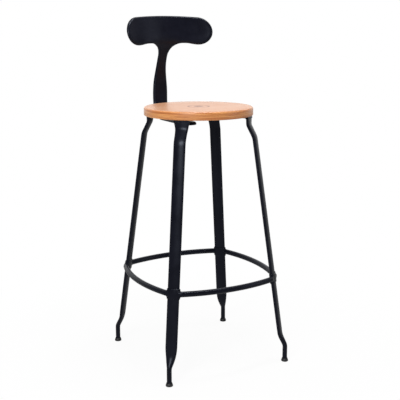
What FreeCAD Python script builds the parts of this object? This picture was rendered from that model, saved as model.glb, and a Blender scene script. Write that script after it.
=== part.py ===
import FreeCAD, Part
import math
import os

# Bar stool with a round footrest and a whale-tail back, in millimetres.
# +Z is up.  The sitter faces -Y and the back stands on the +Y side.  Left is -X and right is +X.
# Every piece is drawn about the axis of the round seat.  The saved pieces are moved along Y, so that
# the origin is on the floor under the middle of the whole stool.

V = FreeCAD.Vector
UP = V(0, 0, 1)
ORIGIN = V(0, 0, 0)

# ---- seat -------------------------------------------------------------------------------------
SEAT_HEIGHT = 750.0          # floor to the top of the seat
SEAT_DIAMETER = 316.0
SEAT_THICKNESS = 24.0
SEAT_TOP_ROUND = 6.0         # round-over of the upper edge
SEAT_BOTTOM_ROUND = 2.5

# ---- spider plate under the seat --------------------------------------------------------------
PLATE_THICKNESS = 4.0
PLATE_HUB_DIAMETER = 120.0
PLATE_ARM_WIDTH = 44.0
PLATE_RIM_GAP = 2.0          # from the end of an arm in to the seat's rim
PLATE_TONGUE_WIDTH = 46.0    # the short arm that carries the back
PLATE_TONGUE_MARGIN = 18.0   # tongue beyond the outer back bolt

# ---- legs -------------------------------------------------------------------------------------
LEG_ANGLES = {"front_right": -45.0, "rear_right": 45.0, "rear_left": 135.0, "front_left": -135.0}
LEG_WALL = 1.6
LEG_WIDTH = 34.5             # along the tangent of the seat
LEG_DEPTH = 12.5             # along the radius
LEG_EDGE_SHARE = 0.7         # radius of a narrow edge, as a share of half the depth
LEG_TOP_WIDTH = 47.0
LEG_TOP_DEPTH = 9.5
LEG_FLARE_POWER = 3.0        # how late the top flares out
LEG_TOP_INSET = 7.5          # from the seat's rim in to the middle of a leg's top
KNEE_DROP = 20.0             # upright stretch below the plate
KNEE_REACH = 18.2            # how far the shoulder carries the leg outwards
KNEE_HEIGHT = 35.0
KNEE_UPPER_RADIUS = 24.0
KNEE_LOWER_RADIUS = 40.0
FOOT_RADIUS = 268.8          # from the axis of the seat to the middle of a foot
FOOT_DIAMETER = 14.0
FOOT_HEIGHT = 50.5           # upright round foot below the ankle
ANKLE_REACH = 15.2
ANKLE_HEIGHT = 29.5
ANKLE_UPPER_RADIUS = 60.0
ANKLE_LOWER_RADIUS = 24.0
ANKLE_TAPER = 60.0           # height over which the flat oval turns round
ANKLE_TAPER_POWER = 0.6      # below 1 the sides stay wide and then close in like a pen's nib
CORNER_STEPS = 6             # sections round each bend of a leg
STRAIGHT_STEPS = 5           # sections along each short straight stretch

# ---- foot caps --------------------------------------------------------------------------------
CAP_DIAMETER = 20.5
CAP_TOP_DIAMETER = 16.6
CAP_HEIGHT = 9.5
CAP_FLOOR = 3.5
CAP_SKIRT = 4.0              # upright part of the cap, below its cone
CAP_ROUND = 1.2

# ---- footrest ---------------------------------------------------------------------------------
FOOTREST_HEIGHT = 255.0
BAR_DIAMETER = 16.0
BAR_WALL = 1.5
BAR_MID_RADIUS = 200.0       # from the axis of the seat to the middle of a bowed bar
BAR_BITE = 12.0              # how far a bar is drawn on into its collar before it is trimmed
BAR_PLUG = 24.0              # length of the closed end of a bar
BAR_FLAT_INSET = 1.8         # from a collar's outermost line in to the flat on a bar's end
COLLAR_WALL = 2.2
COLLAR_HEIGHT = 28.0

# ---- back -------------------------------------------------------------------------------------
BACK_SHEET = 2.5
BACK_FLANGE = 9.0            # depth of the turned edge, sheet included
BACK_COLUMNS = 33            # points across and up the curved sheet
BACK_ROWS = 41
STRAP_DROP = 36.0            # from the underside of the seat to the lowest edge of the strap
STRAP_WIDTH = 48.0
STRAP_TIP = 42.0             # from the axis of the seat to the rounded end of the strap
STEM_OFFSET = 258.0          # from the axis of the seat to the front face of the upright stem
STRAP_BEND_RADIUS = 50.0
STEM_UPRIGHT_RISE = 40.0     # the stem is upright up to this far above the seat
STEM_LEAN_RADIUS = 224.0
STEM_LEAN_ANGLE = 35.5
NECK_RISE = 133.0            # from the seat up to the narrowest place of the stem
NECK_WIDTH = 30.0
NECK_CURL_RADIUS = 40.0
TAIL_RISE = 258.0            # from the seat up to the top of the tail
TAIL_LOBE_RADIUS = 41.5      # the round end of each wing
TAIL_HALF_WIDTH = 139.5
TAIL_TOP_RADIUS = 1260.0     # the upper edge is a shallow arch
TAIL_ARCH_RADIUS = 43.0      # between the neck and a wing
TAIL_BACK_TILT = 12.5        # the wings tip back by this angle
TAIL_WRAP_RADIUS = 282.0     # the wings curve forward round the sitter
TAIL_BLEND = 35.0            # width over which the leaning neck runs out into a wing
STEM_PULL = 0.45             # how long the stem's edge stays upright at the neck
FOOT_PULL = 0.40             # and at its foot, both as shares of the stem's height
WING_PULL = 0.4              # how long the wing's lower edge stays level at each end
WRAP_START_RISE = 100.0      # up to this far above the seat the stem is flat from side to side
WRAP_FULL_RISE = 150.0       # and from here up the wings have their full curve

# ---- fasteners --------------------------------------------------------------------------------
BOLT_DIAMETER = 8.0
BOLT_HEAD_FLATS = 13.0
BOLT_HEAD_HEIGHT = 5.3
BOLT_CLEARANCE = 0.5         # on the diameter of the holes
BOLT_PLACES = [62.0, 118.0]  # behind the axis of the seat
WASHER_DIAMETER = 16.0
WASHER_THICKNESS = 1.6
SPACER_DIAMETER = 18.0
INSERT_DIAMETER = 12.0
INSERT_LENGTH = 13.0
INSERT_POCKET_SPARE = 2.0
SCREW_DIAMETER = 4.5
SCREW_HEAD_DIAMETER = 9.0
SCREW_HEAD_HEIGHT = 3.0
SCREW_DEPTH = 14.0           # into the wood
SCREW_CLEARANCE = 0.5
SCREW_RADIUS = 112.0         # from the axis of the seat

# ---- worked out -------------------------------------------------------------------------------
seat_radius = SEAT_DIAMETER / 2
seat_under = SEAT_HEIGHT - SEAT_THICKNESS
plate_under = seat_under - PLATE_THICKNESS
strap_under = seat_under - STRAP_DROP
strap_top = strap_under + BACK_FLANGE
web_under = strap_top - BACK_SHEET
bend_top = strap_top + STRAP_BEND_RADIUS
stem_upright_top = SEAT_HEIGHT + STEM_UPRIGHT_RISE
neck_height = SEAT_HEIGHT + NECK_RISE
tail_top = SEAT_HEIGHT + TAIL_RISE
wrap_start = SEAT_HEIGHT + WRAP_START_RISE
wrap_full = SEAT_HEIGHT + WRAP_FULL_RISE
bolt_hole = BOLT_DIAMETER + BOLT_CLEARANCE
front_reach = BAR_MID_RADIUS + BAR_DIAMETER / 2
back_reach = STEM_OFFSET + BACK_FLANGE
seat_axis_y = (front_reach - back_reach) / 2
OVERCUT = 5.0                # how far a cutting solid reaches past what it cuts
FUZZ = 0.001                 # faces closer than this meet


def turned(shape, degrees):
    """The shape turned about the axis of the seat."""
    copy = shape.copy()
    copy.rotate(ORIGIN, UP, degrees)
    return copy


def upright_cylinder(diameter, low, high, x=0.0, y=0.0):
    return Part.makeCylinder(diameter / 2, high - low, V(x, y, low), UP)


def fused(solids):
    """One solid out of touching or overlapping ones."""
    return solids[0].multiFuse(solids[1:], FUZZ).removeSplitter()


# ---- legs: every leg is drawn on the +X side and turned into place -----------------------------

def leg_corners():
    """Corners of a leg's middle line in the (radius, height) plane, from the top down."""
    top = seat_radius - LEG_TOP_INSET
    shoulder = top + KNEE_REACH
    shoulder_height = plate_under - KNEE_DROP - KNEE_HEIGHT
    return [
        (top, plate_under),
        (top, plate_under - KNEE_DROP),
        (shoulder, shoulder_height),
        (FOOT_RADIUS - ANKLE_REACH, FOOT_HEIGHT + ANKLE_HEIGHT),
        (FOOT_RADIUS, FOOT_HEIGHT),
        (FOOT_RADIUS, CAP_FLOOR),
    ]


def unit(start, end):
    length = math.hypot(end[0] - start[0], end[1] - start[1])
    return ((end[0] - start[0]) / length, (end[1] - start[1]) / length)


def rounded_corner(before, corner, after, radius):
    """Points and directions along the arc that rounds one corner of the middle line."""
    first = unit(before, corner)
    last = unit(corner, after)
    turn = first[0] * last[1] - first[1] * last[0]
    angle = math.asin(turn)
    reach = radius * math.tan(abs(angle) / 2)
    side = math.copysign(1.0, angle)
    start = (corner[0] - first[0] * reach, corner[1] - first[1] * reach)
    centre = (start[0] - first[1] * radius * side, start[1] + first[0] * radius * side)
    places = []
    for step in range(CORNER_STEPS + 1):
        swing = angle * step / CORNER_STEPS
        direction = (
            first[0] * math.cos(swing) - first[1] * math.sin(swing),
            first[0] * math.sin(swing) + first[1] * math.cos(swing),
        )
        point = (centre[0] + direction[1] * radius * side, centre[1] - direction[0] * radius * side)
        places.append((point, direction))
    return places


def crown_angle(width, depth):
    """Half the angle that a broad face bulges through, 45 degrees where the section is round."""
    flat = 2 * math.atan((1 - LEG_EDGE_SHARE) * depth / (width - LEG_EDGE_SHARE * depth))
    return min(flat, math.pi / 4)


def oval_wire(point, direction, width, depth, angle):
    """A flat oval across the middle line, from two end arcs and two crowned faces.

    The width runs along Y and the depth across the line.  The angle is the crown's.
    """
    spread = (width - depth) / 2 / (math.sin(angle) + math.cos(angle) - 1)
    end_radius = width / 2 - spread * math.sin(angle)
    end_middle = width / 2 - end_radius
    across = V(-direction[1], 0, direction[0])
    centre = V(point[0], 0, point[1])

    def at(sideways, outwards):
        return centre + V(0, sideways, 0) + across * outwards

    joint_x = end_middle + end_radius * math.sin(angle)
    joint_z = end_radius * math.cos(angle)
    corners = [at(joint_x, joint_z), at(-joint_x, joint_z), at(-joint_x, -joint_z), at(joint_x, -joint_z)]
    middles = [at(0, depth / 2), at(-width / 2, 0), at(0, -depth / 2), at(width / 2, 0)]
    edges = []
    for index in range(4):
        edges.append(Part.Arc(corners[index], middles[index], corners[(index + 1) % 4]).toShape())
    return Part.Wire(edges)


def ease(share):
    """A smooth step from 0 to 1."""
    share = min(max(share, 0.0), 1.0)
    return share * share * (3 - 2 * share)


def leg_section(height):
    """Width, depth and crown of a leg at a height: flared at the top and round at the foot."""
    flare_foot = plate_under - KNEE_DROP - KNEE_HEIGHT
    flare = max(0.0, (height - flare_foot) / (plate_under - flare_foot)) ** LEG_FLARE_POWER
    rise = max(0.0, (height - FOOT_HEIGHT) / ANKLE_TAPER)
    taper = 1 - ease(rise ** ANKLE_TAPER_POWER)
    width = LEG_WIDTH + (LEG_TOP_WIDTH - LEG_WIDTH) * flare + (FOOT_DIAMETER - LEG_WIDTH) * taper
    depth = LEG_DEPTH + (LEG_TOP_DEPTH - LEG_DEPTH) * flare + (FOOT_DIAMETER - LEG_DEPTH) * taper
    return width, depth, crown_angle(width, depth)


def straight_places(start, end):
    """Evenly spaced points between two points, both ends left out."""
    direction = unit(start, end)
    places = []
    for step in range(1, STRAIGHT_STEPS):
        share = step / STRAIGHT_STEPS
        point = (start[0] + (end[0] - start[0]) * share, start[1] + (end[1] - start[1]) * share)
        places.append((point, direction))
    return places


def leg_line():
    """Places down the middle line of a leg: shoulder, straight shank, ankle and foot."""
    corners = leg_corners()
    upper = rounded_corner(corners[0], corners[1], corners[2], KNEE_UPPER_RADIUS)
    lower = rounded_corner(corners[1], corners[2], corners[3], KNEE_LOWER_RADIUS)
    ankle = rounded_corner(corners[2], corners[3], corners[4], ANKLE_UPPER_RADIUS)
    heel = rounded_corner(corners[3], corners[4], corners[5], ANKLE_LOWER_RADIUS)
    down = (0.0, -1.0)
    taper_top = FOOT_HEIGHT + ANKLE_TAPER
    shank_foot, shank_direction = shank_at(taper_top)
    line = [(corners[0], down)] + straight_places(corners[0], upper[0][0]) + upper
    line += straight_places(upper[-1][0], lower[0][0]) + lower
    line += [(shank_foot, shank_direction)] + straight_places(shank_foot, ankle[0][0]) + ankle
    line += straight_places(ankle[-1][0], heel[0][0]) + heel + [(corners[5], down)]
    return line


def leg_body(places, shrink):
    """A leg's outside as a solid, or its hollow when shrink is the wall."""
    wires = []
    for point, direction in places:
        width, depth, angle = leg_section(point[1])
        wires.append(oval_wire(point, direction, width - 2 * shrink, depth - 2 * shrink, angle))
    return Part.makeLoft(wires, True, True)


def make_leg():
    places = leg_line()
    return leg_body(places, 0.0).cut(leg_body(places, LEG_WALL))


def shank_at(height):
    """Middle point and direction of the straight shank at a height."""
    corners = leg_corners()
    direction = unit(corners[2], corners[3])
    run = (height - corners[2][1]) / direction[1]
    return (corners[2][0] + direction[0] * run, height), direction


def collar_prism(grow):
    """A stretch of the shank's section, grown outwards, as tall as a collar."""
    point, direction = shank_at(FOOTREST_HEIGHT)
    start = (point[0] - direction[0] * COLLAR_HEIGHT / 2, point[1] - direction[1] * COLLAR_HEIGHT / 2)
    size = (LEG_WIDTH + 2 * grow, LEG_DEPTH + 2 * grow, crown_angle(LEG_WIDTH, LEG_DEPTH))
    face = Part.Face(oval_wire(start, direction, *size))
    return face.extrude(V(direction[0], 0, direction[1]) * COLLAR_HEIGHT)


def make_collar():
    return collar_prism(COLLAR_WALL).cut(collar_prism(0.0))


def make_foot_cap():
    cone_height = CAP_HEIGHT - CAP_SKIRT
    cone = Part.makeCone(CAP_DIAMETER / 2, CAP_TOP_DIAMETER / 2, cone_height, V(0, 0, CAP_SKIRT), UP)
    cap = fused([upright_cylinder(CAP_DIAMETER, 0.0, CAP_SKIRT), cone])
    floor_edge = [edge for edge in cap.Edges if edge.BoundBox.ZMax < 0.01 and len(edge.Vertexes) == 1]
    cap = cap.makeFillet(min(CAP_ROUND, CAP_SKIRT / 2), floor_edge)
    cap = cap.cut(upright_cylinder(FOOT_DIAMETER, CAP_FLOOR, CAP_HEIGHT + OVERCUT))
    cap.translate(V(FOOT_RADIUS, 0, 0))
    return cap


# ---- footrest bars: the bar between the two legs on the +Y side is drawn and turned ------------

def bar_flat_prism():
    """Everything beside a collar that lies further out than the flat on a bar's end."""
    point, direction = shank_at(FOOTREST_HEIGHT)
    across = V(-direction[1], 0, direction[0])
    along = V(direction[0], 0, direction[1])
    near = V(point[0], 0, point[1]) + across * (LEG_DEPTH / 2 + COLLAR_WALL - BAR_FLAT_INSET)
    near = near - along * COLLAR_HEIGHT
    side = V(0, LEG_WIDTH + BAR_DIAMETER, 0)
    far = near + across * (2 * BAR_DIAMETER)
    face = Part.Face(Part.makePolygon([near - side, near + side, far + side, far - side, near - side]))
    return face.extrude(along * (2 * COLLAR_HEIGHT))


def make_bar():
    """A bowed tube from the rear right collar to the rear left one, trimmed against both.

    Its ends are closed, because a bar is wider than the edge of the collar that it meets.
    """
    point, _ = shank_at(FOOTREST_HEIGHT)
    side = LEG_WIDTH / 2 + COLLAR_WALL
    half = (point[0] - side) / math.sqrt(2)
    chord = (point[0] + side) / math.sqrt(2)
    sagitta = BAR_MID_RADIUS - chord
    radius = (half ** 2 + sagitta ** 2) / (2 * sagitta)
    centre = V(0, BAR_MID_RADIUS - radius, FOOTREST_HEIGHT)
    swing = math.degrees(math.asin(half / radius) + BAR_BITE / radius)
    middle = centre + V(0, radius, 0)
    discs = []
    for section_radius in (BAR_DIAMETER / 2, BAR_DIAMETER / 2 - BAR_WALL):
        discs.append(Part.Face(Part.Wire([Part.makeCircle(section_radius, middle, V(1, 0, 0))])))
    plug_swing = math.degrees(BAR_PLUG / radius)
    runs = [(discs[0].cut(discs[1]), -swing, 2 * swing)]
    runs += [(discs[0], -swing, plug_swing), (discs[0], swing - plug_swing, plug_swing)]
    solids = []
    for face, start, length in runs:
        turned_face = face.copy()
        turned_face.rotate(centre, UP, start)
        solids.append(turned_face.revolve(centre, UP, length))
    bar = fused(solids)
    for angle in (LEG_ANGLES["rear_right"], LEG_ANGLES["rear_left"]):
        bar = bar.cut(turned(bar_flat_prism(), angle)).cut(turned(collar_prism(COLLAR_WALL), angle))
    return max(bar.Solids, key=lambda solid: solid.Volume)


# ---- seat and spider plate ----------------------------------------------------------------------

def make_seat():
    board = upright_cylinder(SEAT_DIAMETER, seat_under, SEAT_HEIGHT)
    rims = [edge for edge in board.Edges if len(edge.Vertexes) == 1]
    top = [edge for edge in rims if edge.BoundBox.ZMin > SEAT_HEIGHT - 1]
    bottom = [edge for edge in rims if edge.BoundBox.ZMax < seat_under + 1]
    board = board.makeFillet(SEAT_TOP_ROUND, top).makeFillet(SEAT_BOTTOM_ROUND, bottom)
    for y in BOLT_PLACES:
        pocket = seat_under + INSERT_LENGTH + INSERT_POCKET_SPARE
        board = board.cut(upright_cylinder(INSERT_DIAMETER, seat_under - OVERCUT, pocket, 0, y))
    pilot = upright_cylinder(SCREW_DIAMETER, seat_under - OVERCUT, seat_under + SCREW_DEPTH, SCREW_RADIUS)
    for angle in LEG_ANGLES.values():
        board = board.cut(turned(pilot, angle))
    return board


def make_plate():
    hub = upright_cylinder(PLATE_HUB_DIAMETER, plate_under, seat_under)
    arm_end = seat_radius - PLATE_RIM_GAP
    arm = Part.makeBox(arm_end, PLATE_ARM_WIDTH, PLATE_THICKNESS, V(0, -PLATE_ARM_WIDTH / 2, plate_under))
    rim = upright_cylinder(2 * arm_end, plate_under, seat_under)
    tongue_length = max(BOLT_PLACES) + PLATE_TONGUE_MARGIN
    tongue = Part.makeBox(
        PLATE_TONGUE_WIDTH, tongue_length, PLATE_THICKNESS, V(-PLATE_TONGUE_WIDTH / 2, 0, plate_under)
    )
    solids = [hub, tongue]
    for angle in LEG_ANGLES.values():
        solids.append(turned(arm, angle).common(rim))
    plate = fused(solids)
    for y in BOLT_PLACES:
        plate = plate.cut(upright_cylinder(bolt_hole, plate_under - OVERCUT, seat_under + OVERCUT, 0, y))
    hole = upright_cylinder(
        SCREW_DIAMETER + SCREW_CLEARANCE, plate_under - OVERCUT, seat_under + OVERCUT, SCREW_RADIUS
    )
    for angle in LEG_ANGLES.values():
        plate = plate.cut(turned(hole, angle))
    return plate


# ---- back: one pressed sheet, a U-shaped strap and stem that opens into the tail ----------------

def stem_front(height):
    """Distance from the seat's axis to the front face of the sheet, on the middle line."""
    rise = height - stem_upright_top
    lean = math.radians(STEM_LEAN_ANGLE)
    tilt = math.radians(TAIL_BACK_TILT)
    lean_rise = STEM_LEAN_RADIUS * math.sin(lean)
    curl_rise = NECK_CURL_RADIUS * (math.sin(lean) + math.sin(tilt))
    curl_start = STEM_OFFSET - STEM_LEAN_RADIUS * (1 - math.cos(lean))
    if rise <= 0:
        return STEM_OFFSET
    if rise <= lean_rise:
        return STEM_OFFSET - STEM_LEAN_RADIUS + math.sqrt(STEM_LEAN_RADIUS ** 2 - rise ** 2)
    if rise <= lean_rise + curl_rise:
        below = NECK_CURL_RADIUS * math.sin(lean) - (rise - lean_rise)
        drop = math.sqrt(NECK_CURL_RADIUS ** 2 - below ** 2) - NECK_CURL_RADIUS * math.cos(lean)
        return curl_start - drop
    curl_end = curl_start - NECK_CURL_RADIUS * (math.cos(tilt) - math.cos(lean))
    return curl_end + (rise - lean_rise - curl_rise) * math.tan(tilt)


def wing_front(height):
    """The same distance for the plane of the wings, carried on downwards."""
    return stem_front(tail_top) - (tail_top - height) * math.tan(math.radians(TAIL_BACK_TILT))


def back_front(x, height):
    """Distance to the front face of the sheet at any place of the stem or the tail."""
    share = ease(1 - (abs(x) - STRAP_WIDTH / 2) / TAIL_BLEND)
    flat = wing_front(height) + (stem_front(height) - wing_front(height)) * share
    wrap = TAIL_WRAP_RADIUS - math.sqrt(TAIL_WRAP_RADIUS ** 2 - x ** 2)
    return flat - wrap * ease((height - wrap_start) / (wrap_full - wrap_start))


def tail_outline(inset):
    """Front view of the stem and the tail, drawn inwards by inset, as a face in the XZ plane."""
    lobe = TAIL_LOBE_RADIUS - inset
    lobe_x = TAIL_HALF_WIDTH - TAIL_LOBE_RADIUS
    top_centre = tail_top - TAIL_TOP_RADIUS
    lobe_z = top_centre + math.sqrt((TAIL_TOP_RADIUS - TAIL_LOBE_RADIUS) ** 2 - lobe_x ** 2)
    top_lean = math.atan2(lobe_x, lobe_z - top_centre)
    top_radius = TAIL_TOP_RADIUS - inset
    arch = TAIL_ARCH_RADIUS + inset
    neck = NECK_WIDTH / 2 - inset
    arch_x = NECK_WIDTH / 2 + TAIL_ARCH_RADIUS
    foot_half = STRAP_WIDTH / 2 - inset
    shoulder_z = (bend_top + stem_upright_top) / 2
    diagonal = math.sqrt(0.5)

    def at(x, z):
        return V(x, 0, z)

    def on_top(lean):
        return at(top_radius * math.sin(lean), top_centre + top_radius * math.cos(lean))

    edges = []
    for side in (1, -1):
        arch_top = at(side * arch_x, neck_height + arch)
        arch_mid = at(side * (arch_x - arch * diagonal), neck_height + arch * diagonal)
        neck_point = at(side * neck, neck_height)
        stem = Part.BezierCurve()
        stem.setPoles([
            neck_point,
            at(side * neck, neck_height - (neck_height - shoulder_z) * STEM_PULL),
            at(side * foot_half, shoulder_z + (neck_height - shoulder_z) * FOOT_PULL),
            at(side * foot_half, shoulder_z),
        ])
        lobe_low = at(side * lobe_x, lobe_z - lobe)
        under = Part.BezierCurve()
        under.setPoles([
            arch_top,
            at(side * (arch_x + (lobe_x - arch_x) * WING_PULL), neck_height + arch),
            at(side * (lobe_x - (lobe_x - arch_x) * WING_PULL), lobe_z - lobe),
            lobe_low,
        ])
        edges.append(Part.LineSegment(
            at(side * foot_half, bend_top), at(side * foot_half, shoulder_z)
        ).toShape())
        edges.append(stem.toShape())
        edges.append(Part.Arc(neck_point, arch_mid, arch_top).toShape())
        edges.append(under.toShape())
        edges.append(Part.Arc(
            lobe_low, at(side * (lobe_x + lobe), lobe_z), on_top(side * top_lean)
        ).toShape())
    edges.append(Part.Arc(on_top(top_lean), on_top(0), on_top(-top_lean)).toShape())
    edges.append(Part.LineSegment(at(foot_half, bend_top), at(-foot_half, bend_top)).toShape())
    return Part.Face(Part.Wire(Part.__sortEdges__(edges)))


def outline_prism(inset):
    face = tail_outline(inset)
    reach = STEM_OFFSET + STRAP_BEND_RADIUS
    return face.extrude(V(0, reach, 0))


def back_slab(thickness):
    """Everything between the front face of the sheet and a copy of it moved back by thickness."""
    low = bend_top - 2 * OVERCUT
    high = tail_top + OVERCUT
    half = TAIL_HALF_WIDTH + OVERCUT
    grid = []
    for column in range(BACK_COLUMNS):
        x = -half + 2 * half * column / (BACK_COLUMNS - 1)
        line = []
        for row in range(BACK_ROWS):
            z = low + (high - low) * row / (BACK_ROWS - 1)
            line.append(V(x, back_front(x, z), z))
        grid.append(line)
    surface = Part.BSplineSurface()
    surface.interpolate(grid)
    return surface.toShape().extrude(V(0, thickness, 0))


def strap_profile(front, back):
    """Side view of strap and bend between two distances behind the front face, as a YZ face."""
    centre_y = STEM_OFFSET - STRAP_BEND_RADIUS
    centre_z = bend_top
    inner = STRAP_BEND_RADIUS + front
    outer = STRAP_BEND_RADIUS + back
    diagonal = math.sqrt(0.5)

    def at(y, z):
        return V(0, y, z)

    edges = [
        Part.LineSegment(at(STRAP_TIP, centre_z - inner), at(centre_y, centre_z - inner)),
        Part.Arc(
            at(centre_y, centre_z - inner),
            at(centre_y + inner * diagonal, centre_z - inner * diagonal),
            at(centre_y + inner, centre_z),
        ),
        Part.LineSegment(at(centre_y + inner, centre_z), at(centre_y + outer, centre_z)),
        Part.Arc(
            at(centre_y + outer, centre_z),
            at(centre_y + outer * diagonal, centre_z - outer * diagonal),
            at(centre_y, centre_z - outer),
        ),
        Part.LineSegment(at(centre_y, centre_z - outer), at(STRAP_TIP, centre_z - outer)),
        Part.LineSegment(at(STRAP_TIP, centre_z - outer), at(STRAP_TIP, centre_z - inner)),
    ]
    return Part.Face(Part.Wire([edge.toShape() for edge in edges]))


def strap_plan(inset):
    """Plan view of the strap with its rounded end, as a tall prism."""
    half = STRAP_WIDTH / 2 - inset
    low = strap_under - OVERCUT
    height = bend_top + OVERCUT - low
    length = STEM_OFFSET + STRAP_BEND_RADIUS - STRAP_TIP
    centre_y = STRAP_TIP + STRAP_WIDTH / 2
    box = Part.makeBox(2 * half, length, height, V(-half, centre_y, low))
    return fused([box, upright_cylinder(2 * half, low, low + height, 0, centre_y)])


def strap_slab(front, back):
    face = strap_profile(front, back)
    face.translate(V(-STRAP_WIDTH, 0, 0))
    return face.extrude(V(2 * STRAP_WIDTH, 0, 0))


def make_back():
    pressed = back_slab(BACK_FLANGE)
    behind = pressed.copy()
    behind.translate(V(0, BACK_SHEET, 0))
    upper = pressed.common(outline_prism(0.0)).cut(behind.common(outline_prism(BACK_SHEET)))
    channel = strap_slab(BACK_SHEET, BACK_FLANGE + OVERCUT).common(strap_plan(BACK_SHEET))
    lower = strap_slab(0.0, BACK_FLANGE).common(strap_plan(0.0)).cut(channel)
    back = fused([lower, upper])
    for y in BOLT_PLACES:
        back = back.cut(upright_cylinder(bolt_hole, strap_under - OVERCUT, strap_top + OVERCUT, 0, y))
    return back


# ---- fasteners ----------------------------------------------------------------------------------

def make_bolts():
    bolts = []
    head_top = web_under - WASHER_THICKNESS
    head_low = head_top - BOLT_HEAD_HEIGHT
    corner = BOLT_HEAD_FLATS / math.sqrt(3)
    for y in BOLT_PLACES:
        corners = []
        for index in range(7):
            angle = math.radians(60 * index)
            corners.append(V(corner * math.cos(angle), y + corner * math.sin(angle), head_low))
        head = Part.Face(Part.makePolygon(corners)).extrude(V(0, 0, BOLT_HEAD_HEIGHT))
        shank = upright_cylinder(BOLT_DIAMETER, head_top, seat_under + INSERT_LENGTH, 0, y)
        bolts.append(fused([head, shank]))
    return Part.makeCompound(bolts)


def tube(outer, inner, low, high, y):
    return upright_cylinder(outer, low, high, 0, y).cut(
        upright_cylinder(inner, low - OVERCUT, high + OVERCUT, 0, y)
    )


def tubes(outer, inner, low, high):
    """One tube at each back bolt."""
    return Part.makeCompound([tube(outer, inner, low, high, y) for y in BOLT_PLACES])


def make_seat_screws():
    head = upright_cylinder(SCREW_HEAD_DIAMETER, plate_under - SCREW_HEAD_HEIGHT, plate_under, SCREW_RADIUS)
    under = [edge for edge in head.Edges if edge.BoundBox.ZMax < plate_under - 1 and len(edge.Vertexes) == 1]
    head = head.makeFillet(SCREW_HEAD_HEIGHT / 2, under)
    shank = upright_cylinder(SCREW_DIAMETER, plate_under, seat_under + SCREW_DEPTH, SCREW_RADIUS)
    screw = fused([head, shank])
    return Part.makeCompound([turned(screw, angle) for angle in LEG_ANGLES.values()])


def save(name, piece):
    shape = piece.copy()
    shape.translate(V(0, seat_axis_y, 0))
    shape.exportStep(os.path.join("parts", name + ".step"))
    box = shape.BoundBox
    print("%-24s solids %d valid %s volume %9.0f  x %.1f..%.1f  y %.1f..%.1f  z %.1f..%.1f" % (
        name, len(shape.Solids), shape.isValid(), shape.Volume,
        box.XMin, box.XMax, box.YMin, box.YMax, box.ZMin, box.ZMax,
    ))


os.makedirs("parts", exist_ok=True)

save("seat_board", make_seat())
save("seat_plate", make_plate())

leg = make_leg()
collar = make_collar()
cap = make_foot_cap()
for place, angle in LEG_ANGLES.items():
    save("leg_" + place, turned(leg, angle))
    save("footrest_collar_" + place, turned(collar, angle))
    save("foot_cap_" + place, turned(cap, angle))

bar = make_bar()
for place, angle in {"rear": 0.0, "left": 90.0, "front": 180.0, "right": 270.0}.items():
    save("footrest_bar_" + place, turned(bar, angle))

save("back_rest", make_back())
save("back_bolts", make_bolts())
save("back_washers", tubes(WASHER_DIAMETER, bolt_hole, web_under - WASHER_THICKNESS, web_under))
save("back_spacers", tubes(SPACER_DIAMETER, bolt_hole, strap_top, plate_under))
save("seat_inserts", tubes(INSERT_DIAMETER, BOLT_DIAMETER, seat_under, seat_under + INSERT_LENGTH))
save("seat_screws", make_seat_screws())
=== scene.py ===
# %% [markdown]
# # A bar stool, dressed in Blender
# The engineering model comes in first and stays where it is: it fixes every size and place.  Blender
# then gives each piece its rolled edges, weld beads, hardware and finish.  Nothing on this stool
# moves, so every piece rides on the one body, "root".

# %% Load the frame
import math

import bmesh
import bpy
from mathutils import Euler, Matrix, Vector
from mathutils.geometry import delaunay_2d_cdt


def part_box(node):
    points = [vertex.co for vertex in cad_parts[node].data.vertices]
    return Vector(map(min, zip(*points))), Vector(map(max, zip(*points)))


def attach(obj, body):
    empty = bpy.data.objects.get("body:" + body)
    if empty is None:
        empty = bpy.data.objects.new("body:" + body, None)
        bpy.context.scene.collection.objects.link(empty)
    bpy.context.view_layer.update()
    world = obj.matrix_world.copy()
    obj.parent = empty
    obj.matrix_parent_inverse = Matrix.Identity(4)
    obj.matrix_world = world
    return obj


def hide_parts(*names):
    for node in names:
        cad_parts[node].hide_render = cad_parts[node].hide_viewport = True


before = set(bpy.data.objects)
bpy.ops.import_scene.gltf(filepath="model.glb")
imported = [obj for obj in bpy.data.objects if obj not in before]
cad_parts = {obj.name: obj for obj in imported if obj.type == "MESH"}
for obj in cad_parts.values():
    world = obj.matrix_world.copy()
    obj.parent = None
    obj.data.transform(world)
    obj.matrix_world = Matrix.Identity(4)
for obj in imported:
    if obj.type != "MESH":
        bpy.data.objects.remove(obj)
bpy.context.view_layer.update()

# %% [markdown]
# ## Sizes that the frame gives
# The seat's box gives the axis about which the whole stool is drawn, and the plate's box gives the
# height at which the legs end.  All lengths are in metres.

# %% Seat, plate and axis
seat_low, seat_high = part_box("seat_board")
axis_y = (seat_low.y + seat_high.y) / 2
seat_radius = (seat_high.x - seat_low.x) / 2
seat_top = seat_high.z
seat_under = seat_low.z
plate_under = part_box("seat_plate")[0].z
LEG_ANGLES = {"front_right": -45, "rear_right": 45, "rear_left": 135, "front_left": -135}
print("seat radius", round(seat_radius, 4), "top", round(seat_top, 4), "axis y", round(axis_y, 4))

# %% [markdown]
# ## Camera
# The stool is seen from the sitter's left front, from just above the seat, with a long lens, so
# that the legs hardly converge.  The camera stands on a circle about the seat's axis.

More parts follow.
